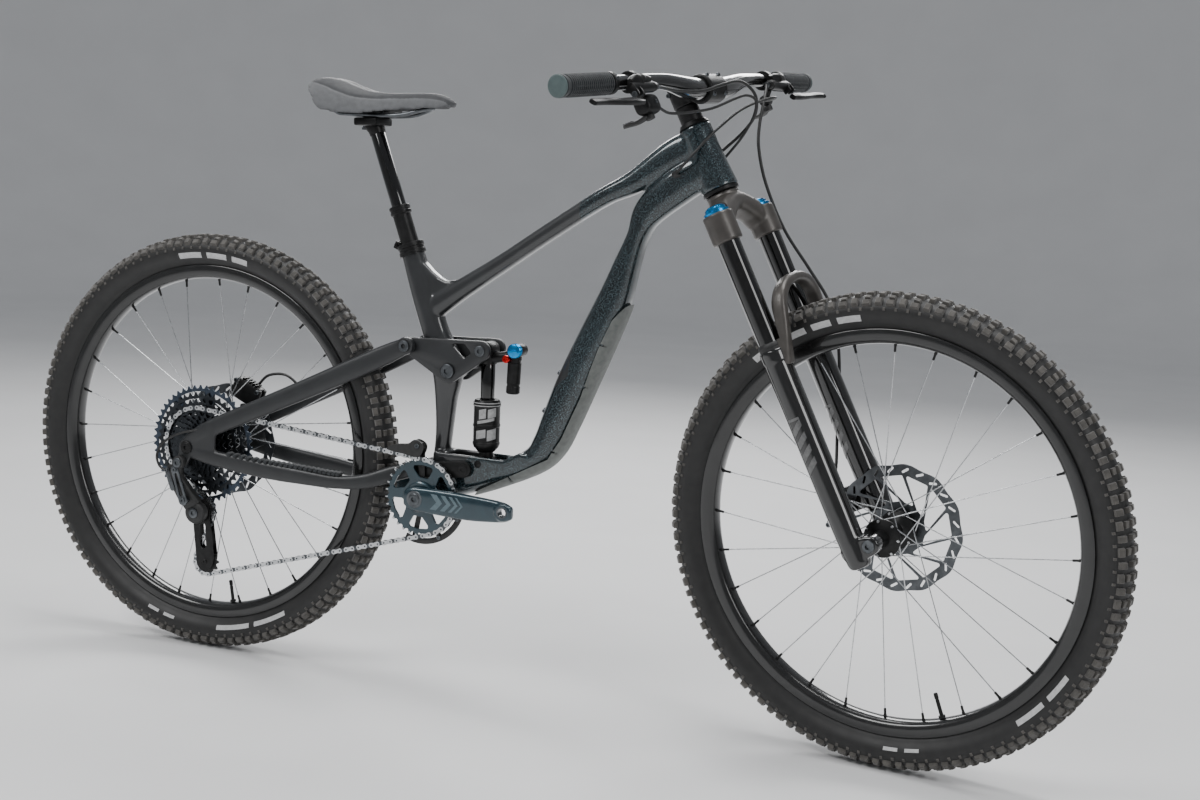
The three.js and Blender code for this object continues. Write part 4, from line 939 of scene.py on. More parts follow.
window = around([(494, 596, 3.5), (512, 580, 3.5), (520.5, 587, 3.5), (511, 597, 3.5)], 5)
rocker_side = slab(around([(*SEATSTAY_PIVOT, 14), (*ROCKER_PIVOT, 20), (*SHOCK_TOP, 17)]), 24, 33,
                   (window, circle_line(ROCKER_PIVOT, 8.3, 28)), 2.2)
rocker_half = [rocker_side, disc(SEATSTAY_PIVOT, 30, 49, 6), disc(SHOCK_TOP, 15.5, 25, 9)]
rocker_shells = both_sides(rocker_half)
rocker_shells += [disc(SHOCK_TOP, -20, 20, 4.5), block((511, 0, 563), (12, 52, 14), edge=3)]
piece("rocker_plates", rocker_shells, "grey_paint", "rocker", replaces="rocker_link")
rocker_bolts = []
for s in (-1, 1):
    rocker_bolts.append(bolt(at(SEATSTAY_PIVOT, s * 47.6), Y * s, 9.5, 3.6, 32))
    rocker_bolts.append(bolt(at(SHOCK_TOP, s * 33), Y * s, 9, 3.2, 32))
piece("rocker_bolts", rocker_bolts, "dark_steel", "rocker")

lower_half = [link(LINK_REAR, 13, LINK_FRONT, 14, 31, 38.6, 1.4), disc(LINK_REAR, 18.5, 33, 6.5)]
lower_half += [bolt(at(spot, 38.4), Y, 8.5, 1.2, 30) for spot in (LINK_REAR, LINK_FRONT)]
piece("lower_link_arms", both_sides(lower_half) + [disc(LINK_FRONT, -33, 33, 7.8)],
      "black_alloy", "lower_link", replaces="lower_link")

SHOCK_FOOT = at(SHOCK_BOTTOM)
SHOCK_UP = (at(SHOCK_TOP) - SHOCK_FOOT).normalized()


def on_shock(along):
    return SHOCK_FOOT + SHOCK_UP * along


can = [(12.8, 33), (0, 33), (0, 14), (14, 18), (21, 26), (23, 31), (23, 34), (22.2, 35), (22.2, 60),
       (23, 61), (23, 64), (22.2, 65), (22.2, 94), (23, 96), (23, 101), (21.5, 104), (20, 106),
       (12.8, 106)]
piece("shock_air_can", [lathe(can, SHOCK_FOOT, SHOCK_UP, 64), disc(SHOCK_BOTTOM, -20, 20, 12, 40),
                        rod(on_shock(0), on_shock(20), 12, 36),
                        disc(SHOCK_BOTTOM, -29.6, 29.6, 6.1)], "black_alloy", "shock_can",
      replaces="shock_can")


def on_can(t, radius, along):
    _, u, w = across_axis(SHOCK_UP)
    return on_shock(along) + (u * cos(t) + w * sin(t)) * radius


CAN_MARKS = (((66, 112), (40, 54)), ((118, 160), (38, 56)), ((72, 150), (66, 71)),
             ((80, 112), (74, 90)), ((120, 158), (76, 91)))
bands = [patch(on_can, turn, (22.1, 22.45), heights, radians(turn[1] - turn[0]) * 5)
         for turn, heights in CAN_MARKS]
bands += [lathe([(22.6, h), (23.5, h), (23.5, h + 1.6), (22.6, h + 1.6)], SHOCK_FOOT, SHOCK_UP, 64,
                True) for h in (96, 100.5)]
piece("shock_can_bands", bands, "decal_silver", "shock_can")

reservoir = [(0, 0), (9.5, 0), (11.5, 2), (11.5, 12), (10.6, 13), (10.6, 16), (11.5, 17),
             (11.5, 52), (10.6, 53), (10.6, 56), (11.5, 57), (11.5, 66), (10, 68), (0, 68)]
damper_shells = [
    rod(on_shock(166), on_shock(180), 14.5, 40), disc(SHOCK_TOP, -15, 15, 14, 40),
    limb([(548, 0, 578, 10, 11), (570, 0, 582, 9, 11), (592, 0, 586, 11, 12)], sides=28, steps=16),
    lathe(reservoir, (590, 0, 522), (1, 0, 68), 44), disc((599.7, 596), -15.4, 8, 11, 40),
]
piece("shock_reservoir", damper_shells, "black_alloy", "shock_damper", replaces="shock_damper")
piece("shock_shaft", [rod(on_shock(92), on_shock(170), 12, 44)], "stanchion_coat", "shock_damper")
dial = [(0, 0), (10, 0)]
for k in range(6):
    dial += [(12, 0.8 + 1.6 * k), (11.4, 1.6 + 1.6 * k)]
dial += [(10.5, 10.2), (0, 10.2)]
piece("shock_blue_dial", [lathe(dial, (599.7, -15.8, 596), -Y, 40),
                          block((599.7, -26.6, 596), (17, 2.6, 4), edge=0.8)], "anodised_blue",
      "shock_dial", replaces="shock_dial")
piece("shock_red_knob", [rod((584, -10, 581), (584, -22, 581), 6.4, 32),
                         bolt((584, -22, 581), -Y, 4.6, 2)], "anodised_red", "shock_damper")

# ---- Swingarm ------------------------------------------------------------------------------

DROPOUT = (74.5, 82)
SEATSTAY = [(-2, 78, 384, 11, 4), (40, 76.5, 409, 15, 6), (120, 67, 448, 16, 8),
            (220, 56, 496, 17, 9), (310, 47, 540, 18, 8.5), (372, 41.5, 571, 17, 7),
            (407, 41, 588.5, 14, 6)]
CHAINSTAY = [(-2, 78, 368, 11, 4), (60, 76.5, 360, 14, 6.5), (150, 70, 351, 15, 8),
             (225, 63, 347, 14, 9), (290, 54, 344, 12, 8.5), (340, 46, 350, 13, 7.5),
             (385, 30.5, 366, 14, 7), (420, 26, 377, 13, 6), (436, 24, 380, 12, 6)]
seatstay, chainstay = limb(SEATSTAY, 32, 50, 2.8), limb(CHAINSTAY, 32, 60, 2.8)
dropout = slab(around([(*REAR_AXLE, 17), (45, 366, 13), (45, 411, 13)]), *DROPOUT, edge=2)
arm_side = [seatstay, chainstay, dropout, disc(SEATSTAY_PIVOT, 34, 47, 15),
            disc(LINK_REAR, 18.5, 30.2, 14)]
arm_cuts = [disc(REAR_AXLE, 60, 100, 6.4, 28, SHARP), disc(SEATSTAY_PIVOT, 20, 60, 6.5, 28, SHARP),
            disc(LINK_REAR, 10, 30.39, 10.2, 28, SHARP), disc(LINK_REAR, 30.4, 60, 17, 40, SHARP),
            disc(REAR_AXLE, 40, DROPOUT[0] - 0.2, 20, 40, SHARP)]
hanger = link(REAR_AXLE, 15, (-10, 347), 11, -DROPOUT[1], -DROPOUT[0], 1.5)
mount = block((37, 64.5, 429.5), (50, 13, 19), edge=3)
arm_shells = both_sides(arm_side) + [hanger, mount]
arm_shells += [disc((338, 562), -46, 46, 7), disc((400, 371), -30, 30, 8)]
fused("swingarm_stays", arm_shells, "grey_paint", "swingarm", 2.2, 6, both_sides(arm_cuts),
      replaces="swingarm")

# The rubber guard on the driven side's chainstay is ribbed along its top.
ribs = []
for k in range(22):
    middle = catmull([Vector(s[:3]) for s in CHAINSTAY[:7]], 0.22 + 0.46 * k / 21)
    lift = 14.4 + 1.6 * sin(pi * min(max((k - 2) / 19, 0), 1))
    ribs.append(block((middle.x, -middle.y, middle.z + lift), (6.6, 16, 6.4), tilt(0.35), 1.4))
piece("chainstay_guard", ribs, "grip_rubber", "swingarm")
rear_axle_shells = [rod((0, -84, 374), (0, 84, 374), 5.9, 32),
                    bolt((0, -82.2, 374), -Y, 9, 3.6, 36),
                    lathe([(7, 0), (11, 0), (11.6, 0.8), (11.6, 2.2), (10.6, 3), (7, 3)],
                          (0, -82.1, 374), -Y, 40, True)]
piece("rear_axle_bolt", rear_axle_shells, "black_alloy", "swingarm", replaces="rear_axle")

# ---- Wheels --------------------------------------------------------------------------------


SPACES["front_wheel"] = lambda p: steered((p[0] + FORK_OFFSET, p[1], p[2]))
SPACES["rear_wheel"] = lambda p: row((p[0], p[1], p[2] + WHEEL_RADIUS))
SPACES["cassette"] = SPACES["rear_wheel"]


def knob(turn, y, tilt, size, reach, skew=0.0):
    """A tapered tread block: size is along the tread, across it and its height."""
    along, across, height = size
    radial = at(polar(1, turn))
    out = radial * cos(tilt) + Y * sin(tilt)
    ahead = at((-sin(turn), cos(turn)))
    side = out.cross(ahead)
    ahead = (ahead + side * skew).normalized()
    foot = radial * reach + Y * y
    return lofted([[foot + out * level + (ahead * (a * along) + side * (b * across)) * (share / 2)
                    for a, b in ((-1, -1), (1, -1), (1, 1), (-1, 1))]
                   for level, share in ((-3.0, 1.12), (height - 0.9, 0.96), (height, 0.80))])


TYRE_PROFILE = [(309, 11.4), (312, 14.2), (319, 14.3), (323, 18.6), (328, 23.4), (335, 27.6),
                (343, 30.0), (350, 29.8), (356, 27.0), (361, 21.6), (365, 14.0), (367.2, 7.0),
                (368, 0)]
TYRE_INSIDE = [(364, 0), (361, 12), (353, 22), (343, 26), (333, 24), (322, 15), (312, 11)]


TREAD_ROWS = 118
# Each block's place across the tyre, lean, size, foot's radius and skew, in odd and even rows.
ODD_ROW = ((6.0, 0.10, (11.0, 8.6, 5.4), 367.4), (16.8, 0.42, (10, 7.6, 5.6), 362.8, 0.2),
           (25.4, 0.86, (12.6, 8.8, 6.4), 356.8))
EVEN_ROW = ((7.6, 0.12, (8.4, 10.6, 5.2), 367.0), (24.0, 0.78, (9.6, 11.6, 6.4), 358.4))
SIDE_RIB = (29.6, 1.25, (4.2, 5.0, 1.6), 349.5)


def tyre(end, body):
    half = TYRE_PROFILE + [(r, -y) for r, y in reversed(TYRE_PROFILE[:-1])]
    inside = [(r, -y) for r, y in reversed(TYRE_INSIDE[1:])] + TYRE_INSIDE
    piece(f"{end}_tyre_carcass", [hoop(half + inside, 128)], "tyre_rubber", body,
          replaces=f"{end}_tyre", angle=60)
    knobs = []
    for k, t in enumerate(turns(TREAD_ROWS)):
        blocks = [(t, *shape) for shape in (ODD_ROW if k % 2 else EVEN_ROW)]
        blocks.append((t + pi / TREAD_ROWS, *SIDE_RIB))
        for turn, y, lean, size, reach, *skew in blocks:
            knobs += [knob(turn, s * y, s * lean, size, reach, s * sum(skew)) for s in (-1, 1)]
    piece(f"{end}_tread", knobs, "knob_rubber", body, angle=25)


def bulge(radius):
    """Half the tyre's width at a radius of its sidewall."""
    for (r0, y0), (r1, y1) in zip(TYRE_PROFILE, TYRE_PROFILE[1:]):
        if r0 <= radius <= r1:
            return y0 + (y1 - y0) * (radius - r0) / (r1 - r0)


def sidewall_marks(end, body):
    """Plain arc blocks in place of the sidewall's lettering, on both sides."""
    shells = []
    for start, stop, low, high in MARKS[end]:
        radii = [low + (high - low) * i / 4 for i in range(5)]
        section = [(r, bulge(r) + 0.45) for r in radii]
        section += [(r, bulge(r) - 0.8) for r in reversed(radii)]
        count = max(3, int(stop - start))
        for s in (-1, 1):
            shells.append(lofted([[at(polar(r, radians(start + (stop - start) * k / count)), s * y)
                                   for r, y in section] for k in range(count + 1)]))
    piece(f"{end}_sidewall_marks", shells, "decal_white", body)


def rim(end, body, valve_angle):
    half = [(307, 13.6), (309, 14.6), (317, 14.8), (318, 15.6), (318, 17.0), (317, 17.6),
            (306, 17.4), (299, 15.2), (295.6, 10.8), (294.2, 6.0), (294, 0)]
    loop = half + [(r, -y) for r, y in reversed(half[:-1])]
    piece(f"{end}_rim_hoop", [hoop(loop, 128)], "rim_black", body, replaces=f"{end}_rim")
    t = radians(valve_angle)
    out = Vector((-cos(t), 0, -sin(t)))
    foot = Vector((cos(t), 0, sin(t))) * 295
    valve = [(0, -8), (3.1, -8), (3.1, 2), (5.4, 2.2), (5.4, 5.6), (3.0, 6), (3.0, 30), (2.6, 31),
             (2.6, 32), (3.3, 32.4), (3.3, 40), (2.6, 41.4), (0, 41.6)]
    piece(f"{end}_valve", [lathe(valve, foot, out, 24)], "black_alloy", body)


def hub_and_spokes(end, body, profile, flanges):
    piece(f"{end}_hub_shell", [hoop(profile, 64)], "black_alloy", body,
          replaces=f"{end}_hub")
    spokes, nipples = [], []
    spacing = 2 * pi / 14
    for flange_y, rim_y, phase in ((flanges[0], -2, 0), (flanges[1], 2, 0.5)):
        for i in range(14):
            hole = (i + phase) * spacing
            way = -1 if i % 2 else 1
            far = hole + way * 3 * spacing
            a = Vector((27 * cos(hole), flange_y + way * 1.4, 27 * sin(hole)))
            b = Vector((292 * cos(far), rim_y + way * 1.4, 292 * sin(far)))
            along = (b - a).normalized()
            head = a - along * 2
            line = [head, a + along * 12, a + along * 24, b - along * 24, b]
            spokes.append(tube(line, [1.15, 1.15, 0.9, 0.9, 1.0], 8))
            spokes.append(lathe([(0, -1.2), (2.0, -1.2), (2.4, 0), (2.0, 1.2), (0, 1.2)],
                                a + Y * (2.6 * way), Y, 12))
            nipples.append(lathe([(0, 0), (1.7, 0), (2.0, 1), (2.0, 9), (2.6, 10), (2.6, 13),
                                  (0, 13)], b - along * 10.5, along, 14))
    piece(f"{end}_spokes", spokes, "bright_steel", body)
    piece(f"{end}_nipples", nipples, "black_alloy", body)


def rotor(end, body):
    """A slotted, wavy-edged disc on twelve slanting arms, with its six bolts."""
    outer = [polar(100.6 + 1.6 * cos(12 * t), t) for t in turns(144)]
    holes = [around([(*polar(r, t + a), 1.9) for r, a in ((95.2, -0.035), (89.4, 0.05))], 4)
             for t in turns(24)]
    windows = ((81, 0.08, 3.0), (81, 0.46, 3.0), (44, -0.10, 2.1), (44, -0.36, 2.1))
    holes += [around([(*polar(r, t + a), size) for r, a, size in windows], 4) for t in turns(12)]
    holes.append(circle_line((0, 0), 13, 48))
    piece(f"{end}_disc", [slab(outer, 40.1, 41.9, holes, 0.15)], "rotor_steel", body,
          f"{end}_rotor")
    carrier = hoop([(13, 39.4), (27.6, 39.4), (28.4, 40.0), (28.4, 42.2), (27.6, 42.8), (13, 42.8)],
                   56)
    heads = bolts([at(polar(20.5, t + 0.02), 42.6) for t in turns(6)], Y, 3.6, 2.2)
    piece(f"{end}_disc_carrier", [carrier, *heads], "black_alloy", body)


FRONT_HUB = [(8, -53), (12, -53), (12, -50), (14, -36), (28, -32.6), (30, -31.6), (30, -28.4),
             (28, -27.4), (16, -22), (14, -20), (14, 20), (16, 22), (28, 27.4), (30, 28.4),
             (30, 31.6), (28, 32.6), (20, 39.2), (12, 39.2), (12, 53), (8, 53)]
REAR_HUB = [(6.4, -74), (10, -74), (10, -73), (17, -72), (17, -26), (28, -22.6), (30, -21.6),
            (30, -18.4), (28, -17.4), (15, -13), (14, -11), (14, 22), (16, 25), (28, 28.4),
            (30, 29.4), (30, 32.6), (28, 33.6), (20, 39.2), (12, 39.2), (12, 74), (6.4, 74)]
MARKS = {"front": ((97, 105, 331, 341), (88, 95, 331, 341), (80.5, 86, 331, 341),
                   (72, 78.5, 331, 341), (-64, -56, 331, 339), (-75, -66, 331, 339),
                   (-108, -104, 332, 337), (-114, -110, 332, 337)),
         "rear": ((93, 101, 331, 341), (84, 91, 331, 341), (76.5, 82, 331, 341),
                  (-70, -58, 331, 339), (-84, -72, 331, 339), (-104, -100, 332, 337),
                  (-110, -106, 332, 337))}
WHEELS = (("front", "front_wheel", FRONT_HUB, (-30, 30), -97),
          ("rear", "rear_wheel", REAR_HUB, (-20, 31), -80))
for end, body, hub_profile, flanges, valve_angle in WHEELS:
    tyre(end, body)
    sidewall_marks(end, body)
    rim(end, body, valve_angle)
    hub_and_spokes(end, body, hub_profile, flanges)
    rotor(end, body)


def caliper(end, body, centre, turn, low, high):
    """A brake caliper straddling the disc's edge, with its ribs, bolts and hose end."""
    place_at = Matrix.Translation(at(centre)) @ tilt(-turn)
    middle, width = (low + high) / 2, high - low
    cheek = (width - 4.8) / 2
    shells = [block((98, y, 0), (36, cheek, 58), edge=5)
              for y in (low + cheek / 2, high - cheek / 2)]
    shells.append(block((111.5, middle, 0), (12, width - 2, 50), edge=4))
    shells += [block((119, middle, z), (4, width - 6, 3), edge=1) for z in (-14, -7, 0, 7, 14)]
    shells += [rod((98, high - 1, z), (98, high + 1.6, z), 9.5, 32) for z in (-14, 14)]
    piece(f"{end}_brake_caliper", moved(shells, place_at), "black_alloy", body,
          replaces=f"{end}_caliper")
    bits = bolts([(112, low - 0.6, z) for z in (-24, 24)], -Y, 4.2, 4)
    bits.append(bolt((106, high, 24), Y, 4.4, 3))
    piece(f"{end}_caliper_bolts", moved(bits, place_at), "dark_steel", body)


caliper("rear", "swingarm", REAR_AXLE, radians(66), 31.6, 57.6)
caliper("front", "lowers", (FORK_OFFSET, 0), radians(146), 31.6, 51.6)

# ---- Cassette, chainring and chain ------------------------------------------------------------

CHAIN_PITCH = 12.7
CHAIN_Y = -47.6


def pitch_radius(teeth):
    return teeth * CHAIN_PITCH / (2 * pi)


def toothed(teeth, phase=0.0, depth=3.6, tip=2.6):
    """A sprocket's outline: rounded gaps on the pitch circle and blunt tips outside it."""
    tooth = ((0.0, -depth), (0.16, -depth * 0.8), (0.34, 0.4), (0.42, tip), (0.58, tip),
             (0.66, 0.4), (0.84, -depth * 0.8))
    return [polar(pitch_radius(teeth) + reach, 2 * pi * (k + share) / teeth + phase)
            for k in range(teeth) for share, reach in tooth]


def spider_windows(inner, outer, count, phase):
    """Slanting windows between a large sprocket's arms."""
    gap, lean = 0.3, 0.18
    holes = []
    for start in turns(count):
        t0, sweep = start + pi * gap / count + phase, 2 * pi * (1 - gap) / count
        holes.append([polar(inner, t0 + sweep * i / 4) for i in range(5)]
                     + [polar(outer, t0 + lean + sweep * i / 6) for i in range(6, -1, -1)])
    return holes


COGS = (10, 12, 14, 16, 18, 21, 24, 28, 33, 39, 45, 51)
cogs = []
for k, teeth in enumerate(COGS):
    y = -72 + 3.45 * k
    holes = [circle_line((0, 0), 15.4 if teeth < 14 else 17.6, 32)]
    if teeth >= 24:
        size = pitch_radius(teeth)
        holes += spider_windows(size * 0.52, size - 8.5, 7 + k % 2, 0.4 * k)
    cogs.append(slab(toothed(teeth, 0.11 * k), y - 0.9, y + 0.9, holes, 0.2))
sleeve = hoop([(15.2, -71.4), (17.4, -71.4), (17.4, -52), (24, -44), (24, -34), (15.2, -34)], 48)
lock_ring = hoop([(10.5, -73.4), (15.6, -73.4), (16.2, -72.4), (16.2, -71.6), (10.5, -71.6)], 36)
piece("cassette_cogs", cogs[:-1] + [sleeve], "cog_dark", "cassette", "cassette")
piece("cassette_large_cog", [cogs[-1], lock_ring], "cog_blue", "cassette")

SPACES["crank"] = lambda p: row((p[0] + BRACKET[0], p[1], p[2] + BRACKET[1]))

RING_TEETH = 32
RING_RADIUS = pitch_radius(RING_TEETH)
ring_holes = [circle_line((0, 0), 15.2, 48)]
RING_WINDOW = ((50.5, 0.2), (50.5, 0.48), (50.5, 0.76), (38, 0.58), (38, 0.26))
ring_holes += [around([(*polar(r, t + a), 4.2) for r, a in RING_WINDOW], 5) for t in turns(6)]
ring_boss = hoop([(15.2, -55.4), (25, -55.4), (27, -54), (27, -49.2), (15.2, -49.2)], 56)
piece("chainring_plate", [slab(toothed(RING_TEETH), -49.6, -45.6, ring_holes, 0.5), ring_boss],
      "crank_blue", "crank", replaces="chainring")
half_tooth = pi / RING_TEETH
tooth_caps = [block(at(polar(RING_RADIUS + 0.6, t + half_tooth), CHAIN_Y), (4.6, 4.3, 2.6),
                    tilt(-t - half_tooth), 0.6) for t in turns(RING_TEETH)]
piece("chainring_teeth", tooth_caps, "bright_steel", "crank")
ring_bolts = bolts([at(polar(21, t + 0.5), -55.2) for t in turns(3)], -Y, 3.6, 2)
piece("chainring_bolts", ring_bolts, "dark_steel", "crank")

ARM = [(-22, 64, 0, 13, 6.5), (-6, 64, 0, 19.5, 7.8), (45, 65.5, -1, 21.5, 7.8),
       (100, 70.5, -1.5, 21.5, 7.6), (145, 76.5, 0, 19, 7), (172, 80, 1, 16, 6.5),
       (186, 81, 1.5, 10, 5)]
EYE = (170, 1.5)
arm = [limb(ARM, 36, 60, 3.0), disc(EYE, 78, 88, 14.5, 40, 1)]
eye_bore = [disc(EYE, 60, 100, 7.2, 32, SHARP)]


def half_turn(shells):
    """The right crank's shells, turned half round for the left one."""
    return moved(shells, Matrix.Diagonal((-1, 1, -1, 1)))


spindle = disc((0, 0), -58, 56, 14.7, 48)
fused("crank_arm_right_carbon", flipped(arm) + [spindle], "crank_blue", "crank", 1.6, 3,
      flipped(eye_bore), "crank_arm_right")
fused("crank_arm_left_carbon", half_turn(arm), "crank_blue", "crank", 1.6, 3, half_turn(eye_bore),
      "crank_arm_left")
hardware = [hoop([(7.2, 77.6), (9.4, 77.6), (9.4, 88.3), (7.2, 88.3)], 40, EYE),
            bolt((0, 71.2, 0), Y, 10, 3.2, 40),
            hoop([(10.4, 71), (14, 71), (14.6, 72), (14, 73), (10.4, 73)], 48)]
piece("crank_hardware", flipped(hardware) + half_turn(hardware), "dark_steel", "crank")
chevrons = []
ARM_SLOPE = 0.087
for x, w in ((30, 12), (50, 9), (66, 6), (78, 4)):
    outline = [(x, -13), (x + w, -13), (x + w + 12, 0), (x + w, 13), (x, 13), (x + 12, 0)]
    surface = 73.3 + (x - 45) * ARM_SLOPE
    points, faces = slab(outline, surface - 1.4, surface + 0.3, edge=0.25)
    shape = [([p + Y * ((p.x - x) * ARM_SLOPE) for p in points], faces)]
    chevrons += flipped(shape) + half_turn(shape)
piece("crank_chevrons", chevrons, "chevron_teal", "crank")


def tangent(a, ra, turn_a, b, rb, turn_b):
    """Where a chain leaves one wheel for the next: turn is 1 with its centre on the left."""
    dx, dz = b[0] - a[0], b[1] - a[1]
    heading = atan2(dz, dx) - asin((turn_b * rb - turn_a * ra) / hypot(dx, dz))
    nx, nz = -sin(heading), cos(heading)
    return (a[0] - turn_a * ra * nx, a[1] - turn_a * ra * nz), (b[0] - turn_b * rb * nx,
        b[1] - turn_b * rb * nz)


def arc(centre, start, end, anticlockwise):
    """Points round a wheel from start, and not start itself, to end."""
    a0 = atan2(start[1] - centre[1], start[0] - centre[0])
    sweep = (atan2(end[1] - centre[1], end[0] - centre[0]) - a0) % (2 * pi)
    if not anticlockwise:
        sweep -= 2 * pi
    radius = hypot(start[0] - centre[0], start[1] - centre[1])
    steps = max(8, int(abs(sweep) / 0.04))
    return [polar(radius, a0 + sweep * k / steps, centre) for k in range(1, steps + 1)]


def between(a, b, share):
    return a[0] + (b[0] - a[0]) * share, a[1] + (b[1] - a[1]) * share


def gap(a, b):
    return hypot(b[0] - a[0], b[1] - a[1])


def cut(a, b, reach):
    """The point a given reach along the straight from a to b, where one body's run ends."""
    return between(a, b, reach / gap(a, b))


COG_RADIUS, JOCKEY_RADIUS = pitch_radius(33), pitch_radius(12)
upper_ring, upper_cog = tangent(BRACKET, RING_RADIUS, 1, REAR_AXLE, COG_RADIUS, 1)
cog_leave, jockey_meet = tangent(REAR_AXLE, COG_RADIUS, 1, JOCKEY_UPPER, JOCKEY_RADIUS, -1)
jockey_leave, lower_meet = tangent(JOCKEY_UPPER, JOCKEY_RADIUS, -1, JOCKEY_LOWER, JOCKEY_RADIUS, 1)
lower_leave, ring_meet = tangent(JOCKEY_LOWER, JOCKEY_RADIUS, 1, BRACKET, RING_RADIUS, 1)
cog_lead = cut(upper_cog, upper_ring, 30)
lower_split = cut(lower_leave, ring_meet, 42)
jockey_split = cut(jockey_meet, cog_leave, 4)
CHAIN_RUNS = [("upper_chain", [cog_lead, upper_ring, *arc(BRACKET, upper_ring, ring_meet, False)]),
              ("lower_chain", [ring_meet, lower_split]),
              ("cage", [lower_split, lower_leave,
                        *arc(JOCKEY_LOWER, lower_leave, lower_meet, False), jockey_leave,
                        *arc(JOCKEY_UPPER, jockey_leave, jockey_meet, True), jockey_split]),
              ("swingarm", [jockey_split, cog_leave, *arc(REAR_AXLE, cog_leave, upper_cog, False),
                            cog_lead])]
chain_loop, owners = [], []
for body, run in CHAIN_RUNS:
    chain_loop += run[:-1]
    owners += [body] * (len(run) - 1)
lengths = [gap(a, b) for a, b in zip(chain_loop, chain_loop[1:] + chain_loop[:1])]
total = sum(lengths)
link_count = 2 * round(total / CHAIN_PITCH / 2)


def along_chain(distance):
    """The point at a distance along the chain, and the body it rides on."""
    distance %= total
    for i, length in enumerate(lengths):
        if distance <= length:
            after = chain_loop[(i + 1) % len(chain_loop)]
            return between(chain_loop[i], after, distance / max(length, 1e-9)), owners[i]
        distance -= length
    return chain_loop[0], owners[0]


def waisted(a, b):
    """A chain plate's outline: two round ends and a narrow middle."""
    heading = atan2(b[1] - a[1], b[0] - a[0])
    outline = []
    for centre, facing in ((b, heading), (a, heading + pi)):
        outline += [polar(4.3, facing + radians(-115 + 230 * k / 6), centre) for k in range(7)]
        outline.append(polar(2.9, facing + pi / 2, between(a, b, 0.5)))
    return outline


chain_parts = {body: ([], []) for body, _ in CHAIN_RUNS}
for k in range(link_count):
    pin, _ = along_chain(total * k / link_count)
    after, _ = along_chain(total * (k + 1) / link_count)
    _, owner = along_chain(total * (k + 0.5) / link_count)
    plates, rollers = chain_parts[owner]
    outer_link = k % 2
    for s in (-1, 1):
        sides = [CHAIN_Y + s * y for y in ((2.3, 3.1) if outer_link else (1.5, 2.2))]
        plate = lofted([[at(p, y) for p in waisted(pin, after)] for y in sorted(sides)])
        (plates if outer_link else rollers).append(plate)
    rollers += [disc(pin, CHAIN_Y - half, CHAIN_Y + half, radius, count, 0.3)
                for half, radius, count in ((1.45, 3.7, 14), (3.5, 1.7, 12))]
STANDS_FOR = {"upper_chain": "chain_upper", "lower_chain": "chain_lower", "swingarm": "chain_rear"}
for body, (plates, rollers) in chain_parts.items():
    piece(f"chain_plates_{body}", plates, "bright_steel", body, replaces=STANDS_FOR.get(body),
          angle=30)
    piece(f"chain_rollers_{body}", rollers, "dark_steel", body)

# ---- Chain guide ----------------------------------------------------------------------------


def from_bracket(radius, angle):
    return polar(radius, radians(angle), BRACKET)


GUIDE_LOW, GUIDE_HIGH = -42.2, -39.9
GUIDE_SPOKES = (-100, -62, -24)
cheek = smooth_outline([(386, 412), (418, 408), (446, 405), (456, 420), (452, 430), (438, 434),
                        (424, 425), (398, 421)], 3)
bash = [from_bracket(81, -112 + 3.5 * k) for k in range(29)]
bash += [from_bracket(71, -14 - 3.5 * k) for k in range(29)]
guide_shells = [hoop([(25.4, GUIDE_LOW), (34, GUIDE_LOW), (34, GUIDE_HIGH), (25.4, GUIDE_HIGH)], 56,
                     BRACKET), link(from_bracket(31, 95), 5, (444, 419), 8, GUIDE_LOW, GUIDE_HIGH,
                                    0.5), slab(cheek, GUIDE_LOW, GUIDE_HIGH, edge=0.5),
                slab(cheek, -54.8, -52.6, edge=0.6),
                slab([(437, 423.5), (454, 420), (451, 429), (438, 433)], -54, GUIDE_HIGH - 0.5,
                     edge=0.6), slab(bash, GUIDE_LOW - 2, GUIDE_HIGH, edge=0.9)]
guide_shells += [link(from_bracket(31, a), 4.5, from_bracket(74, a), 5, GUIDE_LOW, GUIDE_HIGH, 0.5)
                 for a in GUIDE_SPOKES]
piece("chain_guide_plates", guide_shells, "black_plastic", "frame", replaces="chain_guide")
guide_bolts = bolts([at(from_bracket(74, a), -44.2) for a in GUIDE_SPOKES], -Y, 3.8, 2)
guide_bolts.append(bolt((444, -54.6, 424), -Y, 4.4, 2.4))
piece("chain_guide_bolts", guide_bolts, "dark_steel", "frame")

# ---- Rear derailleur --------------------------------------------------------------------------

body_shells = [rod((-10, -94, 347), (-10, -82.5, 347), 12, 36, ease=2),
               limb([(-11, -88, 348, 10, 6), (-17, -85, 322, 13, 7.5), (-6, -77, 294, 16, 9),
                     (8, -68, 270, 17, 9)], 32, 40, 4),
               lathe([(0, -15), (16, -15), (19, -13), (20, -11), (20, -6), (18.6, -5), (18.6, 2),
                      (17, 4), (0, 4)], at(JOCKEY_UPPER, -61), Y, 52),
               block((-26, -86, 330), (22, 8, 14), tilt(0.5), 2.5)]
piece("derailleur_shell", body_shells, "black_plastic", "swingarm",
      replaces="derailleur_body")
parallel = [link((-15, 334), 7.5, (4, 281), 9, -95, -92, 0.8,
                 (around([(-12, 326, 2.4), (0, 292, 3.6)], 6),)),
            link((-33, 331), 5, (-20, 300), 5, -93, -90, 0.8),
            rod((4, -92, 281), (4, -68, 281), 5, 24), rod((-15, -92, 334), (-15, -82, 334), 4, 24)]
LINK_BOLTS = (((-10, 347), -94, 8.5), (JOCKEY_UPPER, -76, 9), ((4, 281), -95, 5),
              ((-15, 334), -95, 4), ((-33, 331), -93, 3.4))
parallel += [bolt(at(spot, y), -Y, radius, 2.4, 28) for spot, y, radius in LINK_BOLTS]
piece("derailleur_links", parallel, "dark_steel", "swingarm")
JOCKEY_WINDOW = around([(18.2, 230, 6.5), (21.2, 196, 6)], 8)
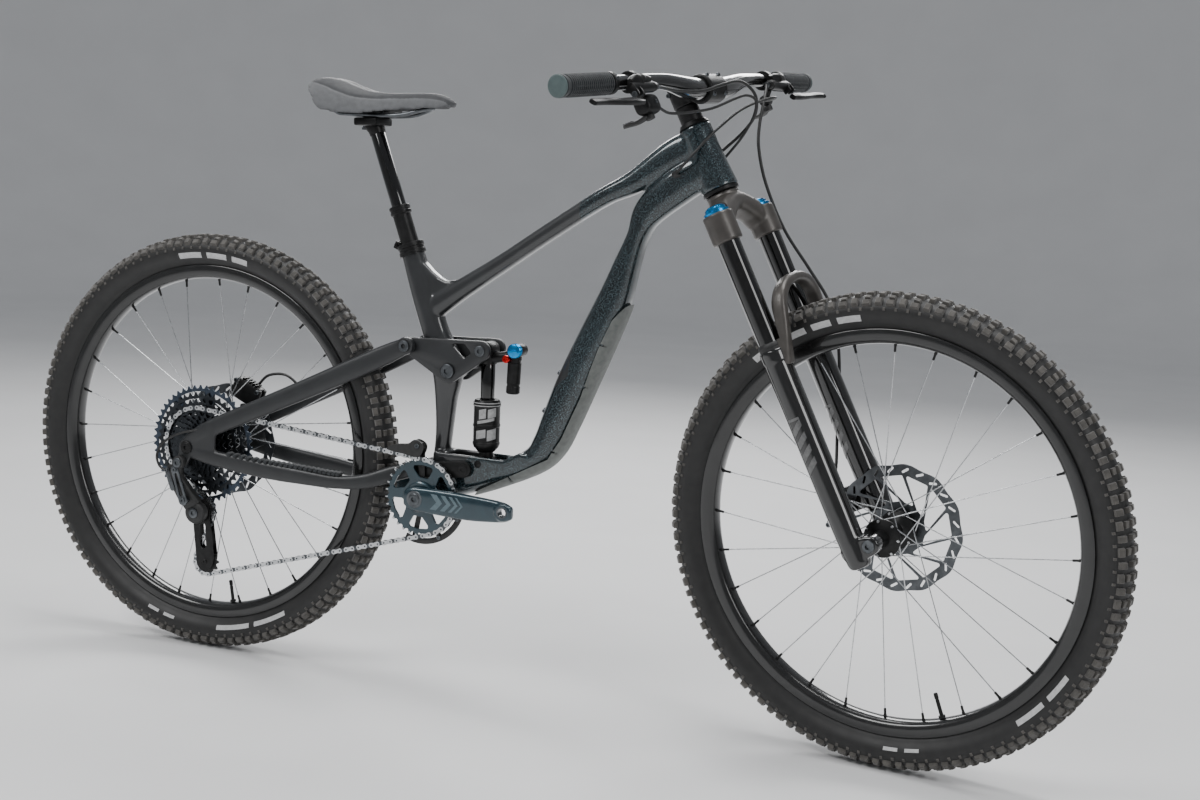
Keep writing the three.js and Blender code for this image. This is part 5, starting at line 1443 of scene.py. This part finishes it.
cage_shells = [slab(around([(*JOCKEY_UPPER, 18), (15, 180, 9), (*JOCKEY_LOWER, 17), (33, 176, 11)]),
                    -55, -53, (JOCKEY_WINDOW,), 0.4),
               slab(around([(*JOCKEY_UPPER, 16), (15, 180, 8), (*JOCKEY_LOWER, 16), (33, 176, 10)]),
                    -42.2, -40.4, (JOCKEY_WINDOW,), 0.4), disc(JOCKEY_UPPER, -56.6, -54, 10)]
for spot in (JOCKEY_UPPER, JOCKEY_LOWER):
    cage_shells.append(disc(spot, -54, -41, 3, 20))
    cage_shells.append(bolt(at(spot, -54.9), -Y, 4.4, 1.5))
piece("derailleur_cage_plates", cage_shells, "black_alloy", "cage", replaces="derailleur_cage")


def jockey(spot, name, body, replaced, phase):
    SPACES[body] = lambda p: row((p[0] + spot[0], p[1], p[2] + spot[1]))
    holes = [circle_line((0, 0), 6, 24)] + [circle_line(polar(12, t), 2.6, 14) for t in turns(6)]
    wheel = slab(toothed(12, phase, 4.2, 1.4), -49, -46.2, holes, 0.4)
    piece(name, [wheel], "black_plastic", body, replaces=replaced)
    bush = hoop([(3.4, -50.5), (6.4, -50.5), (6.4, -44.7), (3.4, -44.7)], 32)
    piece(name + "_bearing", [bush], "bright_steel", body)


jockey(JOCKEY_UPPER, "jockey_upper_wheel", "upper_jockey", "jockey_upper", 0.1)
jockey(JOCKEY_LOWER, "jockey_lower_wheel", "lower_jockey", "jockey_lower", 0.3)
REAR_LINES = (("rear_shift_housing", HOUSING,
               [(-36, -88, 328), (-52, -88, 336), (-58, -88, 356), (-44, -86, 380),
                (-12, -84.5, 398), (24, -80, 408), (52, -76, 416)]),
              ("rear_caliper_hose", BRAKE_HOSE,
               [(52, 57, 476), (72, 60, 496), (104, 64, 500), (128, 66, 486),
                (140, 66, 468), (150, 65, 458)]))
for name, diameter, route in REAR_LINES:
    line = smooth_line(route, 5)
    piece(name, [tube(line, diameter / 2)], "hose_black", "swingarm")
    declare_cord(line, row)

# ---- Fork --------------------------------------------------------------------------------

LEG_X, LEG_Y = 14, 71
CROWN_LOW, CROWN_HIGH, SEAL_TOP = 503, 550, 326


def on_legs(make):
    return [make(s * LEG_Y) for s in (-1, 1)]


crown = [limb([(10, -64, 533, 19, 21), (9, -42, 552, 18, 21), (4, 0, 567, 16, 25),
               (9, 42, 552, 18, 21), (10, 64, 533, 19, 21)], 32, 40, 2.8, X)]
crown += on_legs(lambda y: rod((LEG_X, y, CROWN_LOW), (LEG_X, y, CROWN_HIGH), 24, 48, ease=2))
crown.append(rod((0, 0, 570), (0, 0, 585.5), 26, 48))
crown_cuts = on_legs(lambda y: rod((LEG_X, y, 480), (LEG_X, y, 600), 18.5, 44, SHARP))
crown_cuts += on_legs(lambda y: rod((LEG_X, y, CROWN_HIGH + 0.01), (LEG_X, y, 620), 21, 44, SHARP))
fused("fork_crown_casting", crown, "crown_grey", "steering", 2.0, 5, crown_cuts,
      replaces="fork_crown")
piece("fork_steerer", [rod((0, 0, 560), (0, 0, 612), 15, 40),
                       rod((0, 0, 600), (0, 0, 769), 14.3, 40)], "black_alloy", "steering")
for side, y in (("right", -LEG_Y), ("left", LEG_Y)):
    profile = [(15.4, 150), (18, 150), (18, 550.5), (17.4, 551), (15.4, 551)]
    piece(f"stanchion_{side}_tube", [lathe(profile, (LEG_X, y, 0), Z, 64, True)], "stanchion_coat",
          "steering", replaces=f"stanchion_{side}")
    cap = [(0, 546), (18.6, 546), (20.4, 551), (20.4, 553.4), (19.4, 554.2), (17.0, 554.6),
           (16.6, 558.5), (15.6, 559.4), (12.4, 559.6), (12.2, 561.6), (10.8, 562.4), (0, 562.4)]
    flats = [block((LEG_X + 13.2 * cos(a), y + 13.2 * sin(a), 560), (3, 3, 1.6), tilt(a, "Z"), 0.5)
             for a in (2 * pi * k / 8 for k in range(8))]
    piece(f"fork_top_cap_{side}", [lathe(cap, (LEG_X, y, 0), Z, 48), *flats], "anodised_blue",
          "steering")

lower_shells = []
for s in (-1, 1):
    y = s * LEG_Y
    leg = [(0, -28), (13, -28), (17, -25), (19, -19), (20.4, 10), (21.2, 60), (21.5, 150),
           (21.5, 304), (22.6, 308), (22.6, 322), (21.6, SEAL_TOP), (0, SEAL_TOP)]
    lower_shells.append(lathe(leg, (LEG_X, y, 0), Z, 56))
    low, high = sorted((s * 55.8, s * 84))
    lower_shells.append(slab(around([(LEG_X, 0, 20), (FORK_OFFSET, 0, 15)]), low, high, edge=4))
arch = limb([(24, -70, 300, 14, 14), (41, -69, 350, 10, 13), (52, -58, 396, 9, 12),
             (58, -24, 417, 8, 12), (58, 24, 417, 8, 12), (52, 58, 396, 9, 12),
             (41, 69, 350, 10, 13), (24, 70, 300, 14, 14)], 32, 70, 3, X)
caliper_foot = block((-14, 59.1, 67), (32, 13.8, 42), edge=3)
lower_cuts = on_legs(lambda y: rod((LEG_X, y, -18), (LEG_X, y, 360), 18.5, 44, SHARP))
seal_room = [(0, 0), (20, 0), (20, 12), (25, 12), (25, 154), (0, 154)]
lower_cuts += on_legs(lambda y: lathe(seal_room, (LEG_X, y, SEAL_TOP), Z, 44))
lower_cuts.append(disc((FORK_OFFSET, 0), -100, 100, 7.9, 32, SHARP))
fused("fork_lowers_casting", lower_shells + [caliper_foot], "lowers_black", "lowers", 2.0, 4,
      lower_cuts, replaces="fork_lowers")
fused("fork_arch_casting", [arch], "crown_grey", "lowers", 2.0, 4, lower_cuts[:4])
grooves = []
for offset in (-5, 0, 5):
    line = [(45 + offset, -67, 362), (55.5 + offset, -56, 403), (59 + offset, -36, 417.4),
            (60 + offset, 0, 426.4), (59 + offset, 36, 417.4), (55.5 + offset, 56, 403),
            (45 + offset, 67, 362)]
    grooves.append(tube(smooth_line(line, 5), 1.1, 10))
piece("fork_arch_ribs", grooves, "lowers_black", "lowers")
seal = [(18.3, SEAL_TOP - 3), (19.8, SEAL_TOP - 3), (19.8, SEAL_TOP + 4), (20.6, SEAL_TOP + 5),
        (20.6, SEAL_TOP + 7), (19.2, SEAL_TOP + 10.4), (18.3, SEAL_TOP + 11.2)]
piece("fork_seals", on_legs(lambda y: lathe(seal, (LEG_X, y, 0), Z, 48, True)), "black_plastic",
      "lowers")
axle = [rod((FORK_OFFSET, -84, 0), (FORK_OFFSET, 83, 0), 7.4, 32),
        bolt((FORK_OFFSET, -84.2, 0), -Y, 10, 4.6, 36), bolt((LEG_X, -71, -27), -Z, 8, 3.4),
        bolt((LEG_X, 71, -27), -Z, 8, 3.4)]
piece("front_axle_bolt", axle, "dark_steel", "lowers", replaces="front_axle")

marks = []
for y, start, stop in ((-LEG_Y, -125, -70), (LEG_Y, -150, -95), (LEG_Y, 70, 125)):
    def on_leg(t, radius, z):
        return Vector((*polar(radius, t, (LEG_X, y)), z))

    for low, high, slant in ((128, 139, 16), (148, 159, 16), (168, 179, 16), (188, 199, 16),
                             (214, 218, 0)):
        marks.append(patch(on_leg, (start, stop), (21.25, 21.95), (low, high), slant))
piece("fork_leg_marks", marks, "decal_grey", "lowers")

# ---- Cockpit --------------------------------------------------------------------------------

BAR_X, BAR_Z = 45, 742
GRIP_START, BAR_END = 272, 400


def bar_at(y):
    return Vector((43 - (abs(y) - 170) * 0.056, y, 757))


spacers = [(14.8, 698.5), (24, 698.5), (25, 699.4), (21.4, 705.6), (18.2, 706.4), (18.2, 714.6),
           (17.8, 715), (18.2, 715.4), (18.2, 723), (17.8, 723.4), (18.2, 723.8), (18.2, 731.2),
           (17.6, 731.6), (14.8, 731.6)]
piece("headset_spacer_stack", [lathe(spacers, (0, 0, 0), Z, 56, True)], "black_alloy", "steering",
      replaces="headset_spacers")
stem_shells = [rod((BAR_X, -27, BAR_Z), (BAR_X, 27, BAR_Z), 23, 56, ease=2),
               rod((0, 0, 732), (0, 0, 770), 19.5, 48, ease=1.5),
               limb([(4, 0, 751, 17, 18), (20, 0, 748, 15, 19), (36, 0, 744, 17, 24)], 32, 20, 3)]
stem_bores = [rod((BAR_X, -40, BAR_Z), (BAR_X, 40, BAR_Z), 17.9, 48, SHARP),
              rod((0, 0, 700), (0, 0, 800), 14.6, 40, SHARP)]
split = BAR_X + 2
cut_front = [block((split + 40, 0, 745), (80, 120, 120), edge=0.01)]
cut_rear = [block((split + 0.8 - 60, 0, 745), (120, 120, 120), edge=0.01)]
fused("stem_casting", stem_shells, "black_alloy", "steering", 1.6, 3, stem_bores + cut_front,
      replaces="stem_body")
fused("stem_front_cap", stem_shells, "black_alloy", "steering", 1.6, 3, stem_bores + cut_rear,
      replaces="stem_faceplate")
face_bolts = [bolt((BAR_X + 16, y, BAR_Z + z), X, 4.2, 3.4) for y in (-19, 19) for z in (-15, 15)]
face_bolts += [bolt((-14, s * 9, z), Y * s, 3.8, 9) for s, z in ((1, 744), (-1, 758))]
top_cap = [(0, 769.4), (16.6, 769.4), (17.6, 770.6), (17.4, 773), (15.6, 774.2), (6, 774.2),
           (5, 773), (0, 773)]
piece("stem_bolts", face_bolts + [bolt((0, 0, 773), Z, 4.2, 2.2)], "dark_steel", "steering")
piece("stem_top_cap", [lathe(top_cap, (0, 0, 0), Z, 48)], "black_alloy", "steering")
bar_half = [(30.1, BAR_END, 757, 11.1), (33.3, 343, 757, 11.1), (36.5, 286, 757, 11.1),
            (39.8, 228, 757, 11.1), (43, 170, 757, 11.1), (46, 120, 753, 13), (45.5, 72, 745, 16.6),
            (45, 36, 742, 17.4)]
bar = [(x, -y, z, r, r) for x, y, z, r in bar_half]
bar += [(x, y, z, r, r) for x, y, z, r in reversed(bar_half)]
piece("handlebar_tube", [limb(bar, 36, 120, 2, X)], "lowers_black", "steering",
      replaces="handlebar", angle=50)


def grip():
    start = bar_at(GRIP_START)
    outward = bar_at(BAR_END) - start
    reach = BAR_END - GRIP_START
    body = [(12.0, 9.5), (14.2, 9.5), (14.6, 10.4)]
    for k in range(22):
        h = 12 + 4.8 * k
        body += [(14.6, h), (16.2, h + 0.8), (16.2, h + 3.0), (14.6, h + 3.8)]
    body += [(14.6, reach - 7), (16.3, reach - 6), (16.5, reach - 1), (15.2, reach), (12.0, reach)]
    ribs = lathe(body, start, outward, 48, True)
    pads = []
    axis, u, w = across_axis(outward)
    for k in range(20):
        for i in range(7):
            t = radians(-60 + 22 * i)
            spot = start + axis * (14.5 + 4.8 * k) + (u * cos(t) + w * sin(t)) * 15.9
            pads.append(lathe([(0, -0.6), (2.0, -0.6), (1.7, 0.7), (0, 0.7)], spot,
                              u * cos(t) + w * sin(t), 8))
    collar = lathe([(12.0, 0), (15.6, 0), (16.4, 0.8), (16.4, 7.8), (15.6, 8.8), (12.0, 8.8)],
                   start, outward, 48, True)
    cap = lathe([(0, reach + 0.6), (14.6, reach + 0.6), (16.2, reach + 1.2), (16.2, reach + 3.2),
                 (14.6, reach + 4.4), (0, reach + 4.4)], start, outward, 48)
    screw = bolt(start + axis * 4.4 - w * 15.4, -w, 3, 2)
    return [ribs, *pads], [collar], [cap], [screw]


for side in ("left", "right"):
    made = grip()
    if side == "right":
        made = [flipped(shells) for shells in made]
    piece(f"grip_{side}_sleeve", made[0], "grip_rubber", "steering", replaces=f"grip_{side}")
    piece(f"grip_{side}_collar", made[1], "black_alloy", "steering")
    piece(f"grip_{side}_end_cap", made[2], "cap_teal", "steering")
    piece(f"grip_{side}_screw", made[3], "dark_steel", "steering")


def brake_body():
    """Clamp band, master cylinder with its reservoir, and the ears that hold the lever."""
    spot = bar_at(222)
    outward = (bar_at(300) - bar_at(200)).normalized()
    band = lathe([(11.4, -6), (15.2, -6), (16.2, -5), (16.2, 5), (15.2, 6), (11.4, 6)], spot,
                 outward, 44, True)
    lug = block(spot + Vector((17, 0, -2)), (10, 12, 12), edge=2)
    cylinder = lathe([(0, 0), (5.4, 0), (6.8, 2), (6.8, 8), (8.4, 10), (8.4, 66), (7.4, 70),
                      (0, 70)], (59, 190, 741), Vector((58, 262, 739)) - Vector((59, 190, 741)), 36)
    tank = limb([(58, 204, 748, 6, 9), (59, 222, 750, 7.5, 10), (59, 242, 749.5, 7, 9.5),
                 (58, 256, 746, 4.5, 7)], 28, 24, 3.2)
    neck = limb([(spot.x + 10, 222, 749, 6, 6), (52, 222, 746, 6, 8), (57, 222, 743, 6, 9)], 24, 10,
                3, Y)
    ears = [block((61, y, 733), (13, 4, 17), tilt(-0.2), 1.8) for y in (247.5, 260.5)]
    bits = [bolt((61.5, 262.4, 728), Y, 4.6, 2), bolt((spot.x + 22, 222, 755), Z, 3.0, 3),
            bolt((59, 215, 757), Z, 2.4, 1.2), bolt((59, 243, 756.6), Z, 2.4, 1.2)]
    nut = lathe([(3, -8), (4.6, -8), (4.6, 0), (3, 0)], (59, 190, 741), Y, 6, True)
    return [band, lug, cylinder, tank, neck, *ears], bits + [nut]


def blade():
    line = [(64, 253, 716, 4, 5.6), (65, 275, 716, 4.5, 7), (63, 305, 717, 4, 6.5),
            (58, 345, 720, 4, 6), (60, 378, 719, 4, 6), (63, 386, 717, 3, 5)]
    return limb(line, 24, 50, 3, Vector((0.6, 0, -0.8)))


def shifter():
    pod = [limb([(38, 176, 721, 9, 9), (38, 180, 721, 14, 13), (38, 196, 721, 15, 14),
                 (38, 210, 721, 13, 13), (38, 213, 721, 8, 9)], 32, 30, 3.2, X),
           rod((40, 205, 728), (48, 214, 741), 5.5, 24)]
    return pod, [bolt((38, 196, 735), Z, 3.4, 1.6), bolt((52, 190, 721), X, 3, 1.6)]


def remote():
    pod = [rod((38, 196, 722), (38, 214, 722), 9, 32, ease=2),
           rod((40, 208, 728), (50, 214, 741), 5, 24)]
    return pod, [bolt((38, 214, 722), Y, 4, 2)]


def paddle(stations, boss_low, boss_high):
    boss = rod(boss_low, boss_high, 7, 28)
    pads = [limb(stations, 22, 26, 3)]
    tip = stations[-1]
    pads += [block((tip[0] + 2 + 3.4 * k, tip[1] - 2.0 * k, tip[2] + 2.6), (1.4, 9, 1.2), edge=0.4)
             for k in range(4)]
    return [boss, *pads]


brake, brake_bits = brake_body()
dropper_pod, dropper_bits = remote()
shift_pod, shift_bits = shifter()
piece("brake_body_left_casting", brake + dropper_pod, "black_alloy", "steering",
      replaces="brake_body_left")
piece("brake_body_left_bolts", brake_bits + dropper_bits, "dark_steel", "steering")
piece("brake_body_right_casting", flipped(brake + shift_pod), "black_alloy", "steering",
      replaces="brake_body_right")
piece("brake_body_right_bolts", flipped(brake_bits + shift_bits), "dark_steel", "steering")
piece("brake_blade_left", [blade()], "black_alloy", "left_brake_lever", replaces="brake_lever_left",
      angle=50)
piece("brake_blade_right", flipped([blade()]), "black_alloy", "right_brake_lever",
      replaces="brake_lever_right", angle=50)
thumb = paddle([(34, 201, 704.4, 3, 7), (20, 208, 702, 3, 7), (4, 222, 703, 2.5, 7)],
               (37, 198, 699), (37, 198, 706.4))
piece("shifter_paddle", flipped(thumb), "black_plastic", "trigger", replaces="shifter_trigger")
thumb = paddle([(36, 202, 709, 3, 7), (22, 212, 706, 3, 8), (4, 226, 708, 2.5, 8)], (38, 202, 704),
               (38, 202, 712.4))
piece("dropper_paddle", thumb, "black_plastic", "remote", replaces="dropper_lever")

# ---- Floor ----------------------------------------------------------------------------------

FLOOR_Z, FLOOR_REACH, WALL_CURVE = -0.6, 7000, 3000
dish = [(0, FLOOR_Z), (2000, FLOOR_Z), (FLOOR_REACH, FLOOR_Z)]
dish += [(FLOOR_REACH + WALL_CURVE * sin(t), FLOOR_Z + WALL_CURVE * (1 - cos(t)))
         for t in (pi / 2 * k / 12 for k in range(1, 13))]
dish.append((FLOOR_REACH + WALL_CURVE, 6000))
floor = mesh_object("floor", [lathe(dish, (REAR_AXLE_BEHIND, 0, 0), Z, 96)])
floor.data.shade_smooth()
floor_look = Surface("floor_pale", specular=0.2)
floor_look.colour(floor_look.ramp(floor_look.noise(3), (0.3, grey(0.76)), (0.7, grey(0.79))))
floor_look.rough(0.8)
floor.data.materials.append(floor_look.material)
floor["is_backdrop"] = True

size = {"cad": [list(v) for v in cad_box], "visual": [list(v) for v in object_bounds()]}
